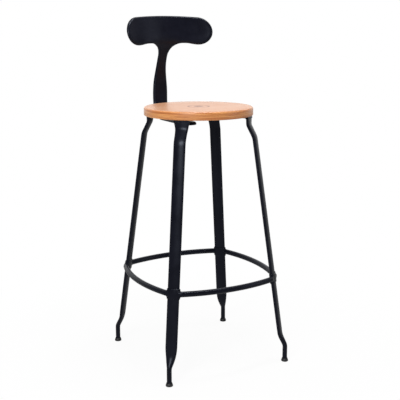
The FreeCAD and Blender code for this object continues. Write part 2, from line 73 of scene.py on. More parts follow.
# %% Camera
CAMERA_DISTANCE = 2.3865
CAMERA_HEIGHT = 0.9867
CAMERA_SIDE = math.radians(27.26)
CAMERA_AIM = math.radians(27.37)
CAMERA_PITCH = math.radians(12.15)
CAMERA_ROLL = math.radians(0.05)
CAMERA_LENS = 74.21
SENSOR_WIDTH = 36.0
camera_data = bpy.data.cameras.new("camera")
camera_data.lens = CAMERA_LENS
camera_data.sensor_width = SENSOR_WIDTH
camera = bpy.data.objects.new("camera", camera_data)
bpy.context.collection.objects.link(camera)
camera.location = (
    -CAMERA_DISTANCE * math.sin(CAMERA_SIDE),
    axis_y - CAMERA_DISTANCE * math.cos(CAMERA_SIDE),
    CAMERA_HEIGHT,
)
camera.rotation_euler = Euler((math.pi / 2 - CAMERA_PITCH, CAMERA_ROLL, -CAMERA_AIM), "XYZ")
bpy.context.scene.camera = camera
bpy.context.scene.view_settings.view_transform = "Standard"
print("camera at", [round(v, 3) for v in camera.location])

# %% [markdown]
# ## Node helpers
# Every material and every Geometry Nodes tree below is built from three small calls: one adds a node
# and fills or links its sockets, one does arithmetic, and one makes a group with named sockets.

# %% Node helpers
def add(tree, kind, sockets=None, **settings):
    """A new node; each socket gets a plain value or a link from another node's output."""
    node = tree.nodes.new(kind)
    for key, value in settings.items():
        setattr(node, key, value)
    for key, value in (sockets or {}).items():
        if isinstance(value, bpy.types.NodeSocket):
            tree.links.new(value, node.inputs[key])
        else:
            node.inputs[key].default_value = value
    return node


def calc(tree, operation, *values):
    return add(tree, "ShaderNodeMath", dict(enumerate(values)), operation=operation).outputs[0]


def vector_calc(tree, operation, *values):
    return add(tree, "ShaderNodeVectorMath", dict(enumerate(values)), operation=operation).outputs[0]


def scaled(tree, vector, factor):
    return add(tree, "ShaderNodeVectorMath", {0: vector, "Scale": factor}, operation="SCALE").outputs[0]


def ramp(tree, value, low, high, to_low=0.0, to_high=1.0):
    """The value mapped smoothly from one range to another."""
    sockets = {"Value": value, "From Min": low, "From Max": high, "To Min": to_low, "To Max": to_high}
    return add(tree, "ShaderNodeMapRange", sockets, interpolation_type="SMOOTHSTEP").outputs[0]


def blend_colours(tree, share, first, second):
    """The second colour laid over the first by a share."""
    node = add(tree, "ShaderNodeMix", data_type="RGBA")
    for index, value in ((0, share), (6, first), (7, second)):
        if isinstance(value, bpy.types.NodeSocket):
            tree.links.new(value, node.inputs[index])
        else:
            node.inputs[index].default_value = value
    return node.outputs[2]


def noise(tree, vector, scale, detail=2.0, roughness=0.5, distortion=0.0):
    sockets = {
        "Vector": vector, "Scale": scale, "Detail": detail,
        "Roughness": roughness, "Distortion": distortion,
    }
    return add(tree, "ShaderNodeTexNoise", sockets).outputs[0]


def stretched(tree, vector, scale):
    """Coordinates scaled by a different amount along each axis."""
    return add(tree, "ShaderNodeMapping", {"Vector": vector, "Scale": scale}).outputs[0]


def new_group(name, kind, inputs, outputs):
    """A node group with named sockets; returns it with its input and output nodes."""
    tree = bpy.data.node_groups.new(name, kind)
    for label, socket, value in inputs:
        made = tree.interface.new_socket(label, in_out="INPUT", socket_type=socket)
        if value is not None:
            made.default_value = value
    for label, socket in outputs:
        tree.interface.new_socket(label, in_out="OUTPUT", socket_type=socket)
    return tree, tree.nodes.new("NodeGroupInput"), tree.nodes.new("NodeGroupOutput")


print("helpers ready:", add.__name__, calc.__name__, ramp.__name__, noise.__name__, new_group.__name__)

# %% [markdown]
# ## Shared finish effects
# Powder coat, moulded plastic and plated steel all have a skin that isn't quite even: a fine
# orange peel that bends reflections, and broad soft patches that change the gloss.  One shader group
# makes both.  A second group makes long grain for the wood and for brushed metal: noise that is
# stretched along one axis.

# %% Skin and grain groups
FLOAT = "NodeSocketFloat"
VECTOR = "NodeSocketVector"
skin_group, skin_in, skin_out = new_group(
    "uneven_skin", "ShaderNodeTree",
    [("Vector", VECTOR, None), ("Peel Scale", FLOAT, 700.0), ("Patch Scale", FLOAT, 18.0)],
    [("Peel", FLOAT), ("Patches", FLOAT), ("Specks", FLOAT)],
)
SPECK_SCALE_SHARE = 0.9
skin_place = skin_in.outputs["Vector"]
peel_scale = skin_in.outputs["Peel Scale"]
peel = noise(skin_group, skin_place, peel_scale, 3.0, 0.55)
patches = noise(skin_group, skin_place, skin_in.outputs["Patch Scale"], 4.0, 0.6)
speck_noise = noise(skin_group, skin_place, calc(skin_group, "MULTIPLY", peel_scale, SPECK_SCALE_SHARE))
specks = ramp(skin_group, speck_noise, 0.68, 0.78)
for index, value in enumerate((peel, ramp(skin_group, patches, 0.3, 0.7), specks)):
    skin_group.links.new(value, skin_out.inputs[index])

grain_group, grain_in, grain_out = new_group(
    "long_grain", "ShaderNodeTree",
    [("Vector", VECTOR, None), ("Along", FLOAT, 6.0), ("Across", FLOAT, 120.0), ("Waver", FLOAT, 0.4)],
    [("Value", FLOAT)],
)
scale = add(grain_group, "ShaderNodeCombineXYZ", {
    0: grain_in.outputs["Along"], 1: grain_in.outputs["Across"], 2: grain_in.outputs["Across"],
}).outputs[0]
grain_place = vector_calc(grain_group, "MULTIPLY", grain_in.outputs["Vector"], scale)
grain_value = noise(grain_group, grain_place, 1.0, 3.0, 0.6, grain_in.outputs["Waver"])
grain_group.links.new(grain_value, grain_out.inputs[0])
print("shader groups", [group.name for group in bpy.data.node_groups])

# %% [markdown]
# ## Materials
# The steel is powder-coated in a slightly blue black with a satin gloss.  One flat colour would
# look like a cut-out, so its colour and roughness drift a little with the patches, and the orange
# peel is a bump less than a tenth of a millimetre high.  The coat reflects little, so the index of
# refraction is kept low and the highlights stay small.

# %% Painted steel
def new_material(name):
    """An empty material; returns its tree, its shader and the object's coordinates."""
    material = bpy.data.materials.new(name)
    material.use_nodes = True
    tree = material.node_tree
    shader = tree.nodes["Principled BSDF"]
    place = add(tree, "ShaderNodeTexCoord").outputs["Object"]
    return material, tree, shader, place


def skin(tree, place, peel_scale, patch_scale):
    group = add(tree, "ShaderNodeGroup", node_tree=skin_group)
    tree.links.new(place, group.inputs["Vector"])
    group.inputs["Peel Scale"].default_value = peel_scale
    group.inputs["Patch Scale"].default_value = patch_scale
    return group.outputs


def bump(tree, shader, height, strength, distance):
    node = add(tree, "ShaderNodeBump", {"Height": height, "Strength": strength, "Distance": distance})
    tree.links.new(node.outputs[0], shader.inputs["Normal"])


black_steel, tree, shader, place = new_material("black_powder_coat")
peel, patches, specks = skin(tree, place, peel_scale=620.0, patch_scale=14.0)
SPECK_GREY = (0.012, 0.013, 0.017, 1)
STEEL_DARK = (0.0044, 0.0046, 0.0092, 1)
STEEL_LIGHT = (0.0070, 0.0074, 0.0140, 1)
coat_colour = blend_colours(tree, patches, STEEL_DARK, STEEL_LIGHT)
coat_colour = blend_colours(tree, specks, coat_colour, SPECK_GREY)
tree.links.new(coat_colour, shader.inputs["Base Color"])
coat_roughness = ramp(tree, patches, 0.0, 1.0, 0.27, 0.35)
coat_roughness = calc(tree, "ADD", coat_roughness, calc(tree, "MULTIPLY", specks, 0.08))
tree.links.new(coat_roughness, shader.inputs["Roughness"])
shader.inputs["IOR"].default_value = 1.34
shader.inputs["Specular IOR Level"].default_value = 0.40
shader.inputs["Specular Tint"].default_value = (0.78, 0.86, 1.0, 1)
bump(tree, shader, peel, 0.16, 0.00008)
print("made", black_steel.name)

# %% [markdown]
# The bolts are plated steel, a bright grey metal whose plating is a little cloudy.  The foot caps
# are moulded in matte black plastic, with the fine grain of a spark-eroded mould.  Both use the same
# skin group as the paint, at other scales, so that the effect is written once.

# %% Plated steel and moulded plastic
zinc_steel, tree, shader, place = new_material("zinc_plate")
ZINC_DULL = (0.50, 0.51, 0.53, 1)
ZINC_BRIGHT = (0.66, 0.67, 0.69, 1)
peel, patches, _ = skin(tree, place, peel_scale=900.0, patch_scale=160.0)
tree.links.new(blend_colours(tree, patches, ZINC_DULL, ZINC_BRIGHT), shader.inputs["Base Color"])
tree.links.new(ramp(tree, patches, 0.0, 1.0, 0.24, 0.38), shader.inputs["Roughness"])
shader.inputs["Metallic"].default_value = 1.0
bump(tree, shader, peel, 0.2, 0.00005)

foot_plastic, tree, shader, place = new_material("moulded_plastic")
PLASTIC_DARK = (0.011, 0.011, 0.013, 1)
PLASTIC_WORN = (0.019, 0.019, 0.022, 1)
peel, patches, _ = skin(tree, place, peel_scale=1500.0, patch_scale=60.0)
tree.links.new(blend_colours(tree, patches, PLASTIC_DARK, PLASTIC_WORN), shader.inputs["Base Color"])
tree.links.new(ramp(tree, patches, 0.0, 1.0, 0.46, 0.62), shader.inputs["Roughness"])
bump(tree, shader, peel, 0.5, 0.0001)
print("made", zinc_steel.name, foot_plastic.name)

# %% [markdown]
# The seat is varnished beech plywood.  Its face veneer shows growth bands, fine fibres and short
# dark pores, all stretched along X.  Its rim shows the plies: thin level layers, every other one a
# little darker, with streaks that run round the seat.  One pattern for the whole board would put
# face grain on the rim, so there are two, and they meet where the round-over cuts through the face
# veneer.  A clear satin coat lies over both.  In the middle of the top the colour is darkened in a
# plain ring and disc, with no lettering.

# %% Varnished wood
VENEER_BROWN = (0.66, 0.28, 0.115, 1)
VENEER_HONEY = (0.76, 0.41, 0.23, 1)
FIBRE_BROWN = (0.66, 0.24, 0.085, 1)
FIGURE_PALE = (0.84, 0.54, 0.34, 1)
PORE_BROWN = (0.38, 0.13, 0.04, 1)


def grain(tree, place, along, across, waver):
    group = add(tree, "ShaderNodeGroup", node_tree=grain_group)
    tree.links.new(place, group.inputs["Vector"])
    for label, value in (("Along", along), ("Across", across), ("Waver", waver)):
        group.inputs[label].default_value = value
    return group.outputs[0]


seat_wood, tree, shader, place = new_material("varnished_beech")
centred = vector_calc(tree, "SUBTRACT", place, (0.0, axis_y, seat_top))
parts = add(tree, "ShaderNodeSeparateXYZ", {0: centred}).outputs

bands = ramp(tree, grain(tree, centred, along=2.4, across=60.0, waver=1.3), 0.32, 0.68)
fibres = grain(tree, centred, along=28.0, across=900.0, waver=0.2)
pores = ramp(tree, grain(tree, centred, along=90.0, across=1400.0, waver=0.1), 0.60, 0.70)
figure = ramp(tree, grain(tree, centred, along=7.0, across=12.0, waver=0.8), 0.3, 0.7)
veneer = blend_colours(tree, bands, VENEER_BROWN, VENEER_HONEY)
veneer = blend_colours(tree, ramp(tree, fibres, 0.3, 0.7, 0.0, 0.40), veneer, FIBRE_BROWN)
veneer = blend_colours(tree, calc(tree, "MULTIPLY", figure, 0.20), veneer, FIGURE_PALE)
veneer = blend_colours(tree, calc(tree, "MULTIPLY", pores, 0.5), veneer, PORE_BROWN)
print("face veneer drawn in", len(tree.nodes), "nodes")

# %% Plies at the rim
PLY_THICKNESS = 0.0020
PLY_STREAKS = 300.0
PLY_DARK = (0.62, 0.20, 0.052, 1)
PLY_BRIGHT = (1.0, 0.46, 0.150, 1)
CROSS_PLY_BROWN = (0.54, 0.17, 0.045, 1)
SIDE_PORE_BROWN = (0.30, 0.10, 0.035, 1)

layered = stretched(tree, centred, (9.0, 9.0, PLY_STREAKS))
streaks = ramp(tree, noise(tree, layered, 1.0, 4.0, 0.65, 0.5), 0.36, 0.64)
drift = noise(tree, stretched(tree, centred, (14.0, 14.0, 40.0)), 1.0, 2.0)
ply_count = calc(tree, "DIVIDE", parts[2], PLY_THICKNESS)
ply_count = calc(tree, "ADD", ply_count, calc(tree, "MULTIPLY", drift, 0.35))
ply_pair = calc(tree, "FRACT", calc(tree, "MULTIPLY", ply_count, 0.5))
cross_ply = ramp(tree, calc(tree, "ABSOLUTE", calc(tree, "SUBTRACT", ply_pair, 0.5)), 0.22, 0.28)
side_noise = noise(tree, stretched(tree, centred, (240.0, 240.0, 1500.0)), 1.0, 2.0)
side_pores = ramp(tree, side_noise, 0.60, 0.70)
plies = blend_colours(tree, streaks, PLY_DARK, PLY_BRIGHT)
plies = blend_colours(tree, calc(tree, "MULTIPLY", cross_ply, 0.45), plies, CROSS_PLY_BROWN)
plies = blend_colours(tree, calc(tree, "MULTIPLY", side_pores, 0.45), plies, SIDE_PORE_BROWN)
on_top = ramp(tree, parts[2], -PLY_THICKNESS, -PLY_THICKNESS * 0.6)
wood_colour = blend_colours(tree, on_top, plies, veneer)
print("rim drawn, plies", PLY_THICKNESS * 1000, "mm thick")

# %% Darkened ring at the centre, and varnish
RING_RADIUS = 0.030
RING_LINE = 0.0026
# The brown below darkens the colour in a ring and a disc in the middle of the top.
CENTRE_RING_BROWN = (0.22, 0.050, 0.010, 1)
flat_place = add(tree, "ShaderNodeCombineXYZ", {0: parts[0], 1: parts[1]}).outputs[0]
reach = add(tree, "ShaderNodeVectorMath", {0: flat_place}, operation="LENGTH").outputs["Value"]
off_ring = calc(tree, "ABSOLUTE", calc(tree, "SUBTRACT", reach, RING_RADIUS))
ring_line = ramp(tree, off_ring, RING_LINE * 0.5, RING_LINE * 1.6, 1.0, 0.0)
ring_disc = ramp(tree, reach, RING_RADIUS * 0.42, RING_RADIUS * 0.5, 1.0, 0.0)
mark = calc(tree, "MULTIPLY", calc(tree, "MAXIMUM", ring_line, ring_disc), on_top)
# Darkening of the colour in a ring and a disc in the middle of the top.
centre_ring_dark = calc(tree, "MULTIPLY", mark, ramp(tree, fibres, 0.2, 0.8, 0.75, 0.95))
wood_colour = blend_colours(tree, centre_ring_dark, wood_colour, CENTRE_RING_BROWN)
tree.links.new(wood_colour, shader.inputs["Base Color"])

wood_roughness = ramp(tree, bands, 0.0, 1.0, 0.50, 0.42)
wood_roughness = calc(tree, "ADD", wood_roughness, calc(tree, "MULTIPLY", mark, 0.12))
tree.links.new(wood_roughness, shader.inputs["Roughness"])
shader.inputs["Coat Weight"].default_value = 0.55
shader.inputs["Coat Roughness"].default_value = 0.28
relief = calc(tree, "SUBTRACT", calc(tree, "MULTIPLY", fibres, 0.5), calc(tree, "MULTIPLY", pores, 0.6))
relief = calc(tree, "SUBTRACT", relief, calc(tree, "MULTIPLY", mark, 1.2))
bump(tree, shader, relief, 0.35, 0.00018)
print("made", seat_wood.name)

# %% [markdown]
# ## Mesh helpers
# Pieces are drawn about the seat's axis and moved to their place in the mesh, so that each object
# sits at the origin as the CAD nodes do.  `settle` closes seams, turns the faces outwards and marks
# only real corners as sharp.

# %% Mesh helpers
SHARP = math.radians(32)


def settle(mesh):
    """Merged, outward-facing and smooth, with real corners left sharp."""
    work = bmesh.new()
    work.from_mesh(mesh)
    bmesh.ops.remove_doubles(work, verts=work.verts, dist=1e-6)
    bmesh.ops.recalc_face_normals(work, faces=work.faces)
    work.to_mesh(mesh)
    work.free()
    mesh.shade_smooth()
    mesh.set_sharp_from_angle(angle=SHARP)


def new_object(name, points, faces, edges=()):
    """A mesh object whose points are measured from the seat's axis at floor level."""
    mesh = bpy.data.meshes.new(name)
    mesh.from_pydata([(x, y + axis_y, z) for x, y, z in points], list(edges), faces)
    made = bpy.data.objects.new(name, mesh)
    bpy.context.collection.objects.link(made)
    return made


def show(piece, slot, *nodes):
    """The finished piece rides on the stool and stands for its CAD nodes."""
    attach(piece, "root")
    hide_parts(*nodes)
    piece.data.calc_loop_triangles()
    print(piece.name, len(piece.data.loop_triangles), "triangles")
    return piece


def solid_piece(name, points, faces, material, slot, *nodes):
    piece = new_object(name, points, faces)
    piece.data.materials.append(material)
    settle(piece.data)
    return show(piece, slot, *nodes)


def arc(centre_a, centre_b, radius, start, end, steps):
    """Points on an arc, with the angles in degrees."""
    points = []
    for step in range(steps + 1):
        angle = math.radians(start + (end - start) * step / steps)
        points.append((centre_a + radius * math.cos(angle), centre_b + radius * math.sin(angle)))
    return points


def lathe(profile, steps, centre_x=0.0, centre_y=0.0, closed=False):
    """Turns (radius, height) points about an upright axis; ends on the axis close as poles."""
    points = []
    rows = []
    for radius, height in profile:
        if radius < 1e-7:
            rows.append([len(points)] * steps)
            points.append((centre_x, centre_y, height))
            continue
        rows.append(list(range(len(points), len(points) + steps)))
        for step in range(steps):
            angle = 2 * math.pi * step / steps
            x, y = centre_x + radius * math.cos(angle), centre_y + radius * math.sin(angle)
            points.append((x, y, height))
    return points, stitch(rows, closed)


def stitch(rows, closed):
    """Faces between rows of point numbers, each row a closed loop; repeated numbers make triangles."""
    faces = []
    pairs = list(zip(rows, rows[1:]))
    if closed:
        pairs.append((rows[-1], rows[0]))
    for lower, upper in pairs:
        count = len(lower)
        for step in range(count):
            after = (step + 1) % count
            corners = [lower[step], lower[after], upper[after], upper[step]]
            corners = list(dict.fromkeys(corners))
            if len(corners) > 2:
                faces.append(corners)
    return faces


def gathered(parts):
    """Several (points, faces) lists as one."""
    points = []
    faces = []
    for more_points, more_faces in parts:
        start = len(points)
        points += more_points
        faces += [[start + number for number in face] for face in more_faces]
    return points, faces


print("mesh helpers ready; corners over", round(math.degrees(SHARP)), "degrees stay sharp")

# %% [markdown]
# ## Seat
# A round board with a generous round-over on its upper edge, where thighs rest, and only a broken
# edge below.  A cylinder with a Bevel modifier would give both edges the same rounding, so a profile
# is turned about the axis instead, which is also how a workshop shapes such a board.

# %% Seat board
SEAT_TOP_ROUND = 0.006
SEAT_BOTTOM_ROUND = 0.0025
seat_profile = [(0.0, seat_under), (seat_radius * 0.5, seat_under)]
low_edge = (seat_radius - SEAT_BOTTOM_ROUND, seat_under + SEAT_BOTTOM_ROUND)
seat_profile += arc(*low_edge, SEAT_BOTTOM_ROUND, -90, 0, 5)
seat_profile += arc(seat_radius - SEAT_TOP_ROUND, seat_top - SEAT_TOP_ROUND, SEAT_TOP_ROUND, 0, 90, 9)
seat_profile += [(seat_radius * 0.5, seat_top), (0.0, seat_top)]
points, faces = lathe(seat_profile, 192)
solid_piece("seat", points, faces, seat_wood, "seat_wood", "seat_board")

# %% [markdown]
# ## Geometry Nodes helpers
# What follows a path or repeats is grown by Geometry Nodes: one tree with named sizes serves all the
# copies.  `grow` hangs a tree on a small guide mesh, sets the tree's inputs by their identifiers,
# and turns the result into a plain mesh, so that nothing is left to be worked out later.

# %% Growing a piece from a tree
GEOMETRY = "NodeSocketGeometry"


def new_grower(name, inputs):
    """A modifier tree with geometry in and out, a material input and named sizes."""
    sockets = [("Guide", GEOMETRY, None), ("Material", "NodeSocketMaterial", None)] + inputs
    tree, start, end = new_group(name, "GeometryNodeTree", sockets, [("Geometry", GEOMETRY)])
    tree.is_modifier = True
    return tree, start.outputs, end


def finish_grower(tree, start, end, geometry):
    """Ends a tree: real geometry, then the material."""
    real = add(tree, "GeometryNodeRealizeInstances", {0: geometry}).outputs[0]
    painted = add(tree, "GeometryNodeSetMaterial", {"Geometry": real, "Material": start["Material"]})
    tree.links.new(painted.outputs[0], end.inputs[0])


def grow(guide, tree, material, sizes):
    """Runs the tree on the guide object and keeps the result as its plain mesh."""
    modifier = guide.modifiers.new("grow", "NODES")
    modifier.node_group = tree
    values = dict(sizes, Material=material)
    for item in tree.interface.items_tree:
        if item.item_type == "SOCKET" and item.in_out == "INPUT" and item.name in values:
            modifier[item.identifier] = values[item.name]
    depsgraph = bpy.context.evaluated_depsgraph_get()
    mesh = bpy.data.meshes.new_from_object(guide.evaluated_get(depsgraph), depsgraph=depsgraph)
    guide.modifiers.remove(modifier)
    guide.data = mesh
    settle(mesh)
    return guide


def captured(tree, geometry, kind, value):
    """Stores a value on the geometry's points; returns the geometry and the stored value."""
    node = add(tree, "GeometryNodeCaptureAttribute", {"Geometry": geometry})
    node.capture_items.new(kind, "Value")
    tree.links.new(value, node.inputs[1])
    return node.outputs[0], node.outputs[1]


print("grower helpers ready")

# %% [markdown]
# ## Legs
# Each leg is a pressed steel tube.  It leaves the plate as a wide flat blade, bends out into a
# shoulder, runs straight down as a flat oval, and just above the floor closes into a round foot that
# is kicked out and upright.  It could be lofted by hand through a dozen sections.  But the section
# follows a rule of height alone, so one tree sweeps it for all four legs: the middle line is
# filleted and swept with a small circle, and every point is then put on a flat oval of four tangent
# arcs, whose width and depth come from its height.

# %% Leg sizes
LEG_WIDTH = 0.0345
LEG_DEPTH = 0.0125
LEG_EDGE_SHARE = 0.7
LEG_TOP_WIDTH = 0.047
LEG_TOP_DEPTH = 0.0095
FLARE_POWER = 3.0
LEG_TOP_INSET = 0.0075
KNEE_DROP = 0.020
KNEE_REACH = 0.0182
KNEE_HEIGHT = 0.035
FOOT_RADIUS = 0.2688
FOOT_DIAMETER = 0.014
FOOT_HEIGHT = 0.0505
ANKLE_REACH = 0.0152
ANKLE_HEIGHT = 0.0295
TAPER_HEIGHT = 0.060
TAPER_POWER = 0.6
CAP_FLOOR = 0.0035
shoulder_height = plate_under - KNEE_DROP - KNEE_HEIGHT
leg_corners = [
    (seat_radius - LEG_TOP_INSET, plate_under, 0.0),
    (seat_radius - LEG_TOP_INSET, plate_under - KNEE_DROP, 0.024),
    (seat_radius - LEG_TOP_INSET + KNEE_REACH, shoulder_height, 0.040),
    (FOOT_RADIUS - ANKLE_REACH, FOOT_HEIGHT + ANKLE_HEIGHT, 0.060),
    (FOOT_RADIUS, FOOT_HEIGHT, 0.024),
    (FOOT_RADIUS, CAP_FLOOR, 0.0),
]
shank_top, shank_end = leg_corners[2], leg_corners[3]
shank_fall = Vector((shank_end[0] - shank_top[0], shank_end[1] - shank_top[1])).normalized()
print("shank leans", round(math.degrees(math.atan2(shank_fall.x, -shank_fall.y)), 2), "degrees")

# %% The flat-oval sweep: middle line and tube
LINE_STEPS = 14
TUBE_SIDES = 56
leg_tree, start, end = new_grower("flat_oval_sweep", [
    ("Side", VECTOR, None), ("Width", FLOAT, LEG_WIDTH), ("Depth", FLOAT, LEG_DEPTH),
    ("Edge Share", FLOAT, LEG_EDGE_SHARE), ("Top Width", FLOAT, LEG_TOP_WIDTH),
    ("Top Depth", FLOAT, LEG_TOP_DEPTH), ("Top Height", FLOAT, plate_under),
    ("Flare Height", FLOAT, KNEE_DROP + KNEE_HEIGHT), ("Flare Power", FLOAT, FLARE_POWER),
    ("Foot Diameter", FLOAT, FOOT_DIAMETER), ("Foot Height", FLOAT, FOOT_HEIGHT),
    ("Taper Height", FLOAT, TAPER_HEIGHT), ("Taper Power", FLOAT, TAPER_POWER),
    ("Spacing", FLOAT, 0.004),
])
t = leg_tree
bend = add(t, "GeometryNodeInputNamedAttribute", {"Name": "bend"}).outputs[0]
line = add(t, "GeometryNodeMeshToCurve", {0: start["Guide"]}).outputs[0]
fillet = {"Curve": line, "Count": LINE_STEPS, "Radius": bend}
line = add(t, "GeometryNodeFilletCurve", fillet, mode="POLY").outputs[0]
spacing = {"Curve": line, "Length": start["Spacing"]}
line = add(t, "GeometryNodeResampleCurve", spacing, mode="LENGTH").outputs[0]
line, middle = captured(t, line, "VECTOR", add(t, "GeometryNodeInputPosition").outputs[0])
line, along = captured(t, line, "VECTOR", add(t, "GeometryNodeInputTangent").outputs[0])

circle = {"Resolution": TUBE_SIDES, "Radius": 0.001}
circle = add(t, "GeometryNodeCurvePrimitiveCircle", circle).outputs[0]
turn = calc(t, "MULTIPLY", add(t, "GeometryNodeSplineParameter").outputs["Factor"], 2 * math.pi)
circle, turn = captured(t, circle, "FLOAT", turn)
tube = {"Curve": line, "Profile Curve": circle, "Fill Caps": True}
tube = add(t, "GeometryNodeCurveToMesh", tube).outputs[0]
print("middle line and tube take", len(t.nodes), "nodes")

# %% Width and depth by height
height = add(t, "ShaderNodeSeparateXYZ", {0: middle}).outputs["Z"]
flare_foot = calc(t, "SUBTRACT", start["Top Height"], start["Flare Height"])
flare = calc(t, "DIVIDE", calc(t, "SUBTRACT", height, flare_foot), start["Flare Height"])
flare = calc(t, "POWER", calc(t, "MAXIMUM", flare, 0.0), start["Flare Power"])
rise = calc(t, "DIVIDE", calc(t, "SUBTRACT", height, start["Foot Height"]), start["Taper Height"])
rise = calc(t, "POWER", calc(t, "MINIMUM", calc(t, "MAXIMUM", rise, 0.0), 1.0), start["Taper Power"])
taper = calc(t, "SUBTRACT", 1.0, ramp(t, rise, 0.0, 1.0))


def section_size(shank, top):
    """A width or a depth at this height: the shank's, plus the flare's and the taper's shares."""
    wider = calc(t, "MULTIPLY", calc(t, "SUBTRACT", top, shank), flare)
    rounder = calc(t, "MULTIPLY", calc(t, "SUBTRACT", start["Foot Diameter"], shank), taper)
    return calc(t, "ADD", shank, calc(t, "ADD", wider, rounder))


width = section_size(start["Width"], start["Top Width"])
depth = section_size(start["Depth"], start["Top Depth"])
print("sizes by height take", len(t.nodes), "nodes so far")

# %% The oval of four arcs
edge_depth = calc(t, "MULTIPLY", depth, start["Edge Share"])
crown_rise = calc(t, "SUBTRACT", depth, edge_depth)
crown = calc(t, "ARCTAN2", crown_rise, calc(t, "SUBTRACT", width, edge_depth))
crown = calc(t, "MINIMUM", calc(t, "MULTIPLY", crown, 2.0), math.pi / 4)
crown_cosine = calc(t, "COSINE", crown)
spread = calc(t, "SUBTRACT", calc(t, "ADD", calc(t, "SINE", crown), crown_cosine), 1.0)
spread = calc(t, "DIVIDE", calc(t, "MULTIPLY", calc(t, "SUBTRACT", width, depth), 0.5), spread)
crown_side = calc(t, "MULTIPLY", spread, calc(t, "SINE", crown))
edge = calc(t, "SUBTRACT", calc(t, "MULTIPLY", width, 0.5), crown_side)

CROWD = 0.38
facing = calc(t, "MULTIPLY", calc(t, "SINE", calc(t, "MULTIPLY", turn, 2.0)), CROWD)
facing = calc(t, "SUBTRACT", turn, facing)
normal_side = calc(t, "SINE", facing)
normal_out = calc(t, "COSINE", facing)
lean = calc(t, "ARCTAN2", normal_side, calc(t, "ABSOLUTE", normal_out))
lean = calc(t, "MAXIMUM", calc(t, "MINIMUM", lean, crown), calc(t, "MULTIPLY", crown, -1.0))
bulge = calc(t, "MULTIPLY", spread, calc(t, "SUBTRACT", calc(t, "COSINE", lean), crown_cosine))
bulge = calc(t, "MULTIPLY", bulge, calc(t, "SIGN", normal_out))
sideways = calc(t, "MULTIPLY", spread, calc(t, "SINE", lean))
sideways = calc(t, "ADD", sideways, calc(t, "MULTIPLY", edge, normal_side))
outwards = calc(t, "ADD", bulge, calc(t, "MULTIPLY", edge, normal_out))

across = vector_calc(t, "CROSS_PRODUCT", start["Side"], along)
target = vector_calc(t, "ADD", middle, scaled(t, start["Side"], sideways))
target = vector_calc(t, "ADD", target, scaled(t, across, outwards))
swept = add(t, "GeometryNodeSetPosition", {"Geometry": tube, "Position": target}).outputs[0]
finish_grower(t, start, end, swept)
print("leg tree has", len(t.nodes), "nodes")

# %% The four legs
def bearing(degrees):
    """Unit vectors outwards and sideways at an angle round the seat's axis."""
    angle = math.radians(degrees)
    return Vector((math.cos(angle), math.sin(angle), 0)), Vector((-math.sin(angle), math.cos(angle), 0))


for place_name, degrees in LEG_ANGLES.items():
    outward, sideward = bearing(degrees)
    guide_points = [outward * radius + Vector((0, 0, z)) for radius, z, _ in leg_corners]
    links = [(number, number + 1) for number in range(len(guide_points) - 1)]
    leg = new_object("leg_" + place_name + "_tube", guide_points, [], links)
    radii = leg.data.attributes.new("bend", "FLOAT", "POINT")
    radii.data.foreach_set("value", [radius for _, _, radius in leg_corners])
    grow(leg, leg_tree, black_steel, {"Side": sideward})
    show(leg, "black_steel", "leg_" + place_name)

# %% [markdown]
# ## Foot caps
# A small turned cap: a short upright skirt that stands on the floor, then a cone up to the lip that
# grips the round foot.  Its profile is turned like the seat's, because a plain cylinder would miss
# the cone and the lip.

# %% Foot caps
CAP_RADIUS = 0.01025
CAP_TOP_RADIUS = 0.0083
CAP_HEIGHT = 0.0095
CAP_SKIRT = 0.004
CAP_ROUND = 0.0012
LIP = 0.0004
cap_profile = [(0.0, 0.0)] + arc(CAP_RADIUS - CAP_ROUND, CAP_ROUND, CAP_ROUND, -90, 0, 5)
cap_profile += arc(CAP_RADIUS - LIP, CAP_SKIRT - LIP, LIP, 0, 60, 3)
cap_profile += arc(CAP_TOP_RADIUS - LIP, CAP_HEIGHT - LIP, LIP, 20, 150, 5)
socket_radius = FOOT_DIAMETER / 2
cap_profile += [(socket_radius, CAP_HEIGHT - 2 * LIP), (socket_radius, CAP_FLOOR), (0.0, CAP_FLOOR)]
for place_name, degrees in LEG_ANGLES.items():
    foot = bearing(degrees)[0] * FOOT_RADIUS
    points, faces = lathe(cap_profile, 56, foot.x, foot.y)
    node = "foot_cap_" + place_name
    solid_piece(node + "_moulded", points, faces, foot_plastic, "foot_plastic", node)

# %% [markdown]
# ## Footrest collars
# A short oval sleeve is pushed over each leg and carries the bars.  It is the leg's own oval, grown
# outwards, and it is drawn as a band: a little profile with rounded lips that runs round the oval.

# %% Oval section and collar places
FOOTREST_HEIGHT = (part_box("footrest_bar_rear")[0].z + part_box("footrest_bar_rear")[1].z) / 2
COLLAR_WALL = 0.0022
COLLAR_HEIGHT = 0.028


def oval_arcs(width, depth):
    """Crown angle, spread and edge radius of a flat oval made of four tangent arcs."""
    edge_depth = LEG_EDGE_SHARE * depth
    angle = min(2 * math.atan2(depth - edge_depth, width - edge_depth), math.pi / 4)
    spread = (width - depth) / 2 / (math.sin(angle) + math.cos(angle) - 1)
    return angle, spread, width / 2 - spread * math.sin(angle)


def oval_ring(width, depth, grow_by, count):
    """Points (sideways, outwards) round the oval, grown evenly outwards."""
    angle, spread, edge = oval_arcs(width, depth)
    ring = []
    for step in range(count):
        turn = 2 * math.pi * step / count
        facing = turn - CROWD * math.sin(2 * turn)
        side, out = math.sin(facing), math.cos(facing)
        lean = max(-angle, min(angle, math.atan2(side, abs(out))))
        bulge = math.copysign(spread * (math.cos(lean) - math.cos(angle)), out)
        ring.append((spread * math.sin(lean) + (edge + grow_by) * side, bulge + (edge + grow_by) * out))
    return ring


def shank_place(degrees, height):
    """Middle of the straight shank at a height, with its sideways, outward and downward directions."""
    outward, sideward = bearing(degrees)
    radius = shank_top[0] + shank_fall.x * (height - shank_top[1]) / shank_fall.y
    across_leg = outward * -shank_fall.y + Vector((0, 0, shank_fall.x))
    down = outward * shank_fall.x + Vector((0, 0, shank_fall.y))
    return outward * radius + Vector((0, 0, height)), sideward, across_leg, down


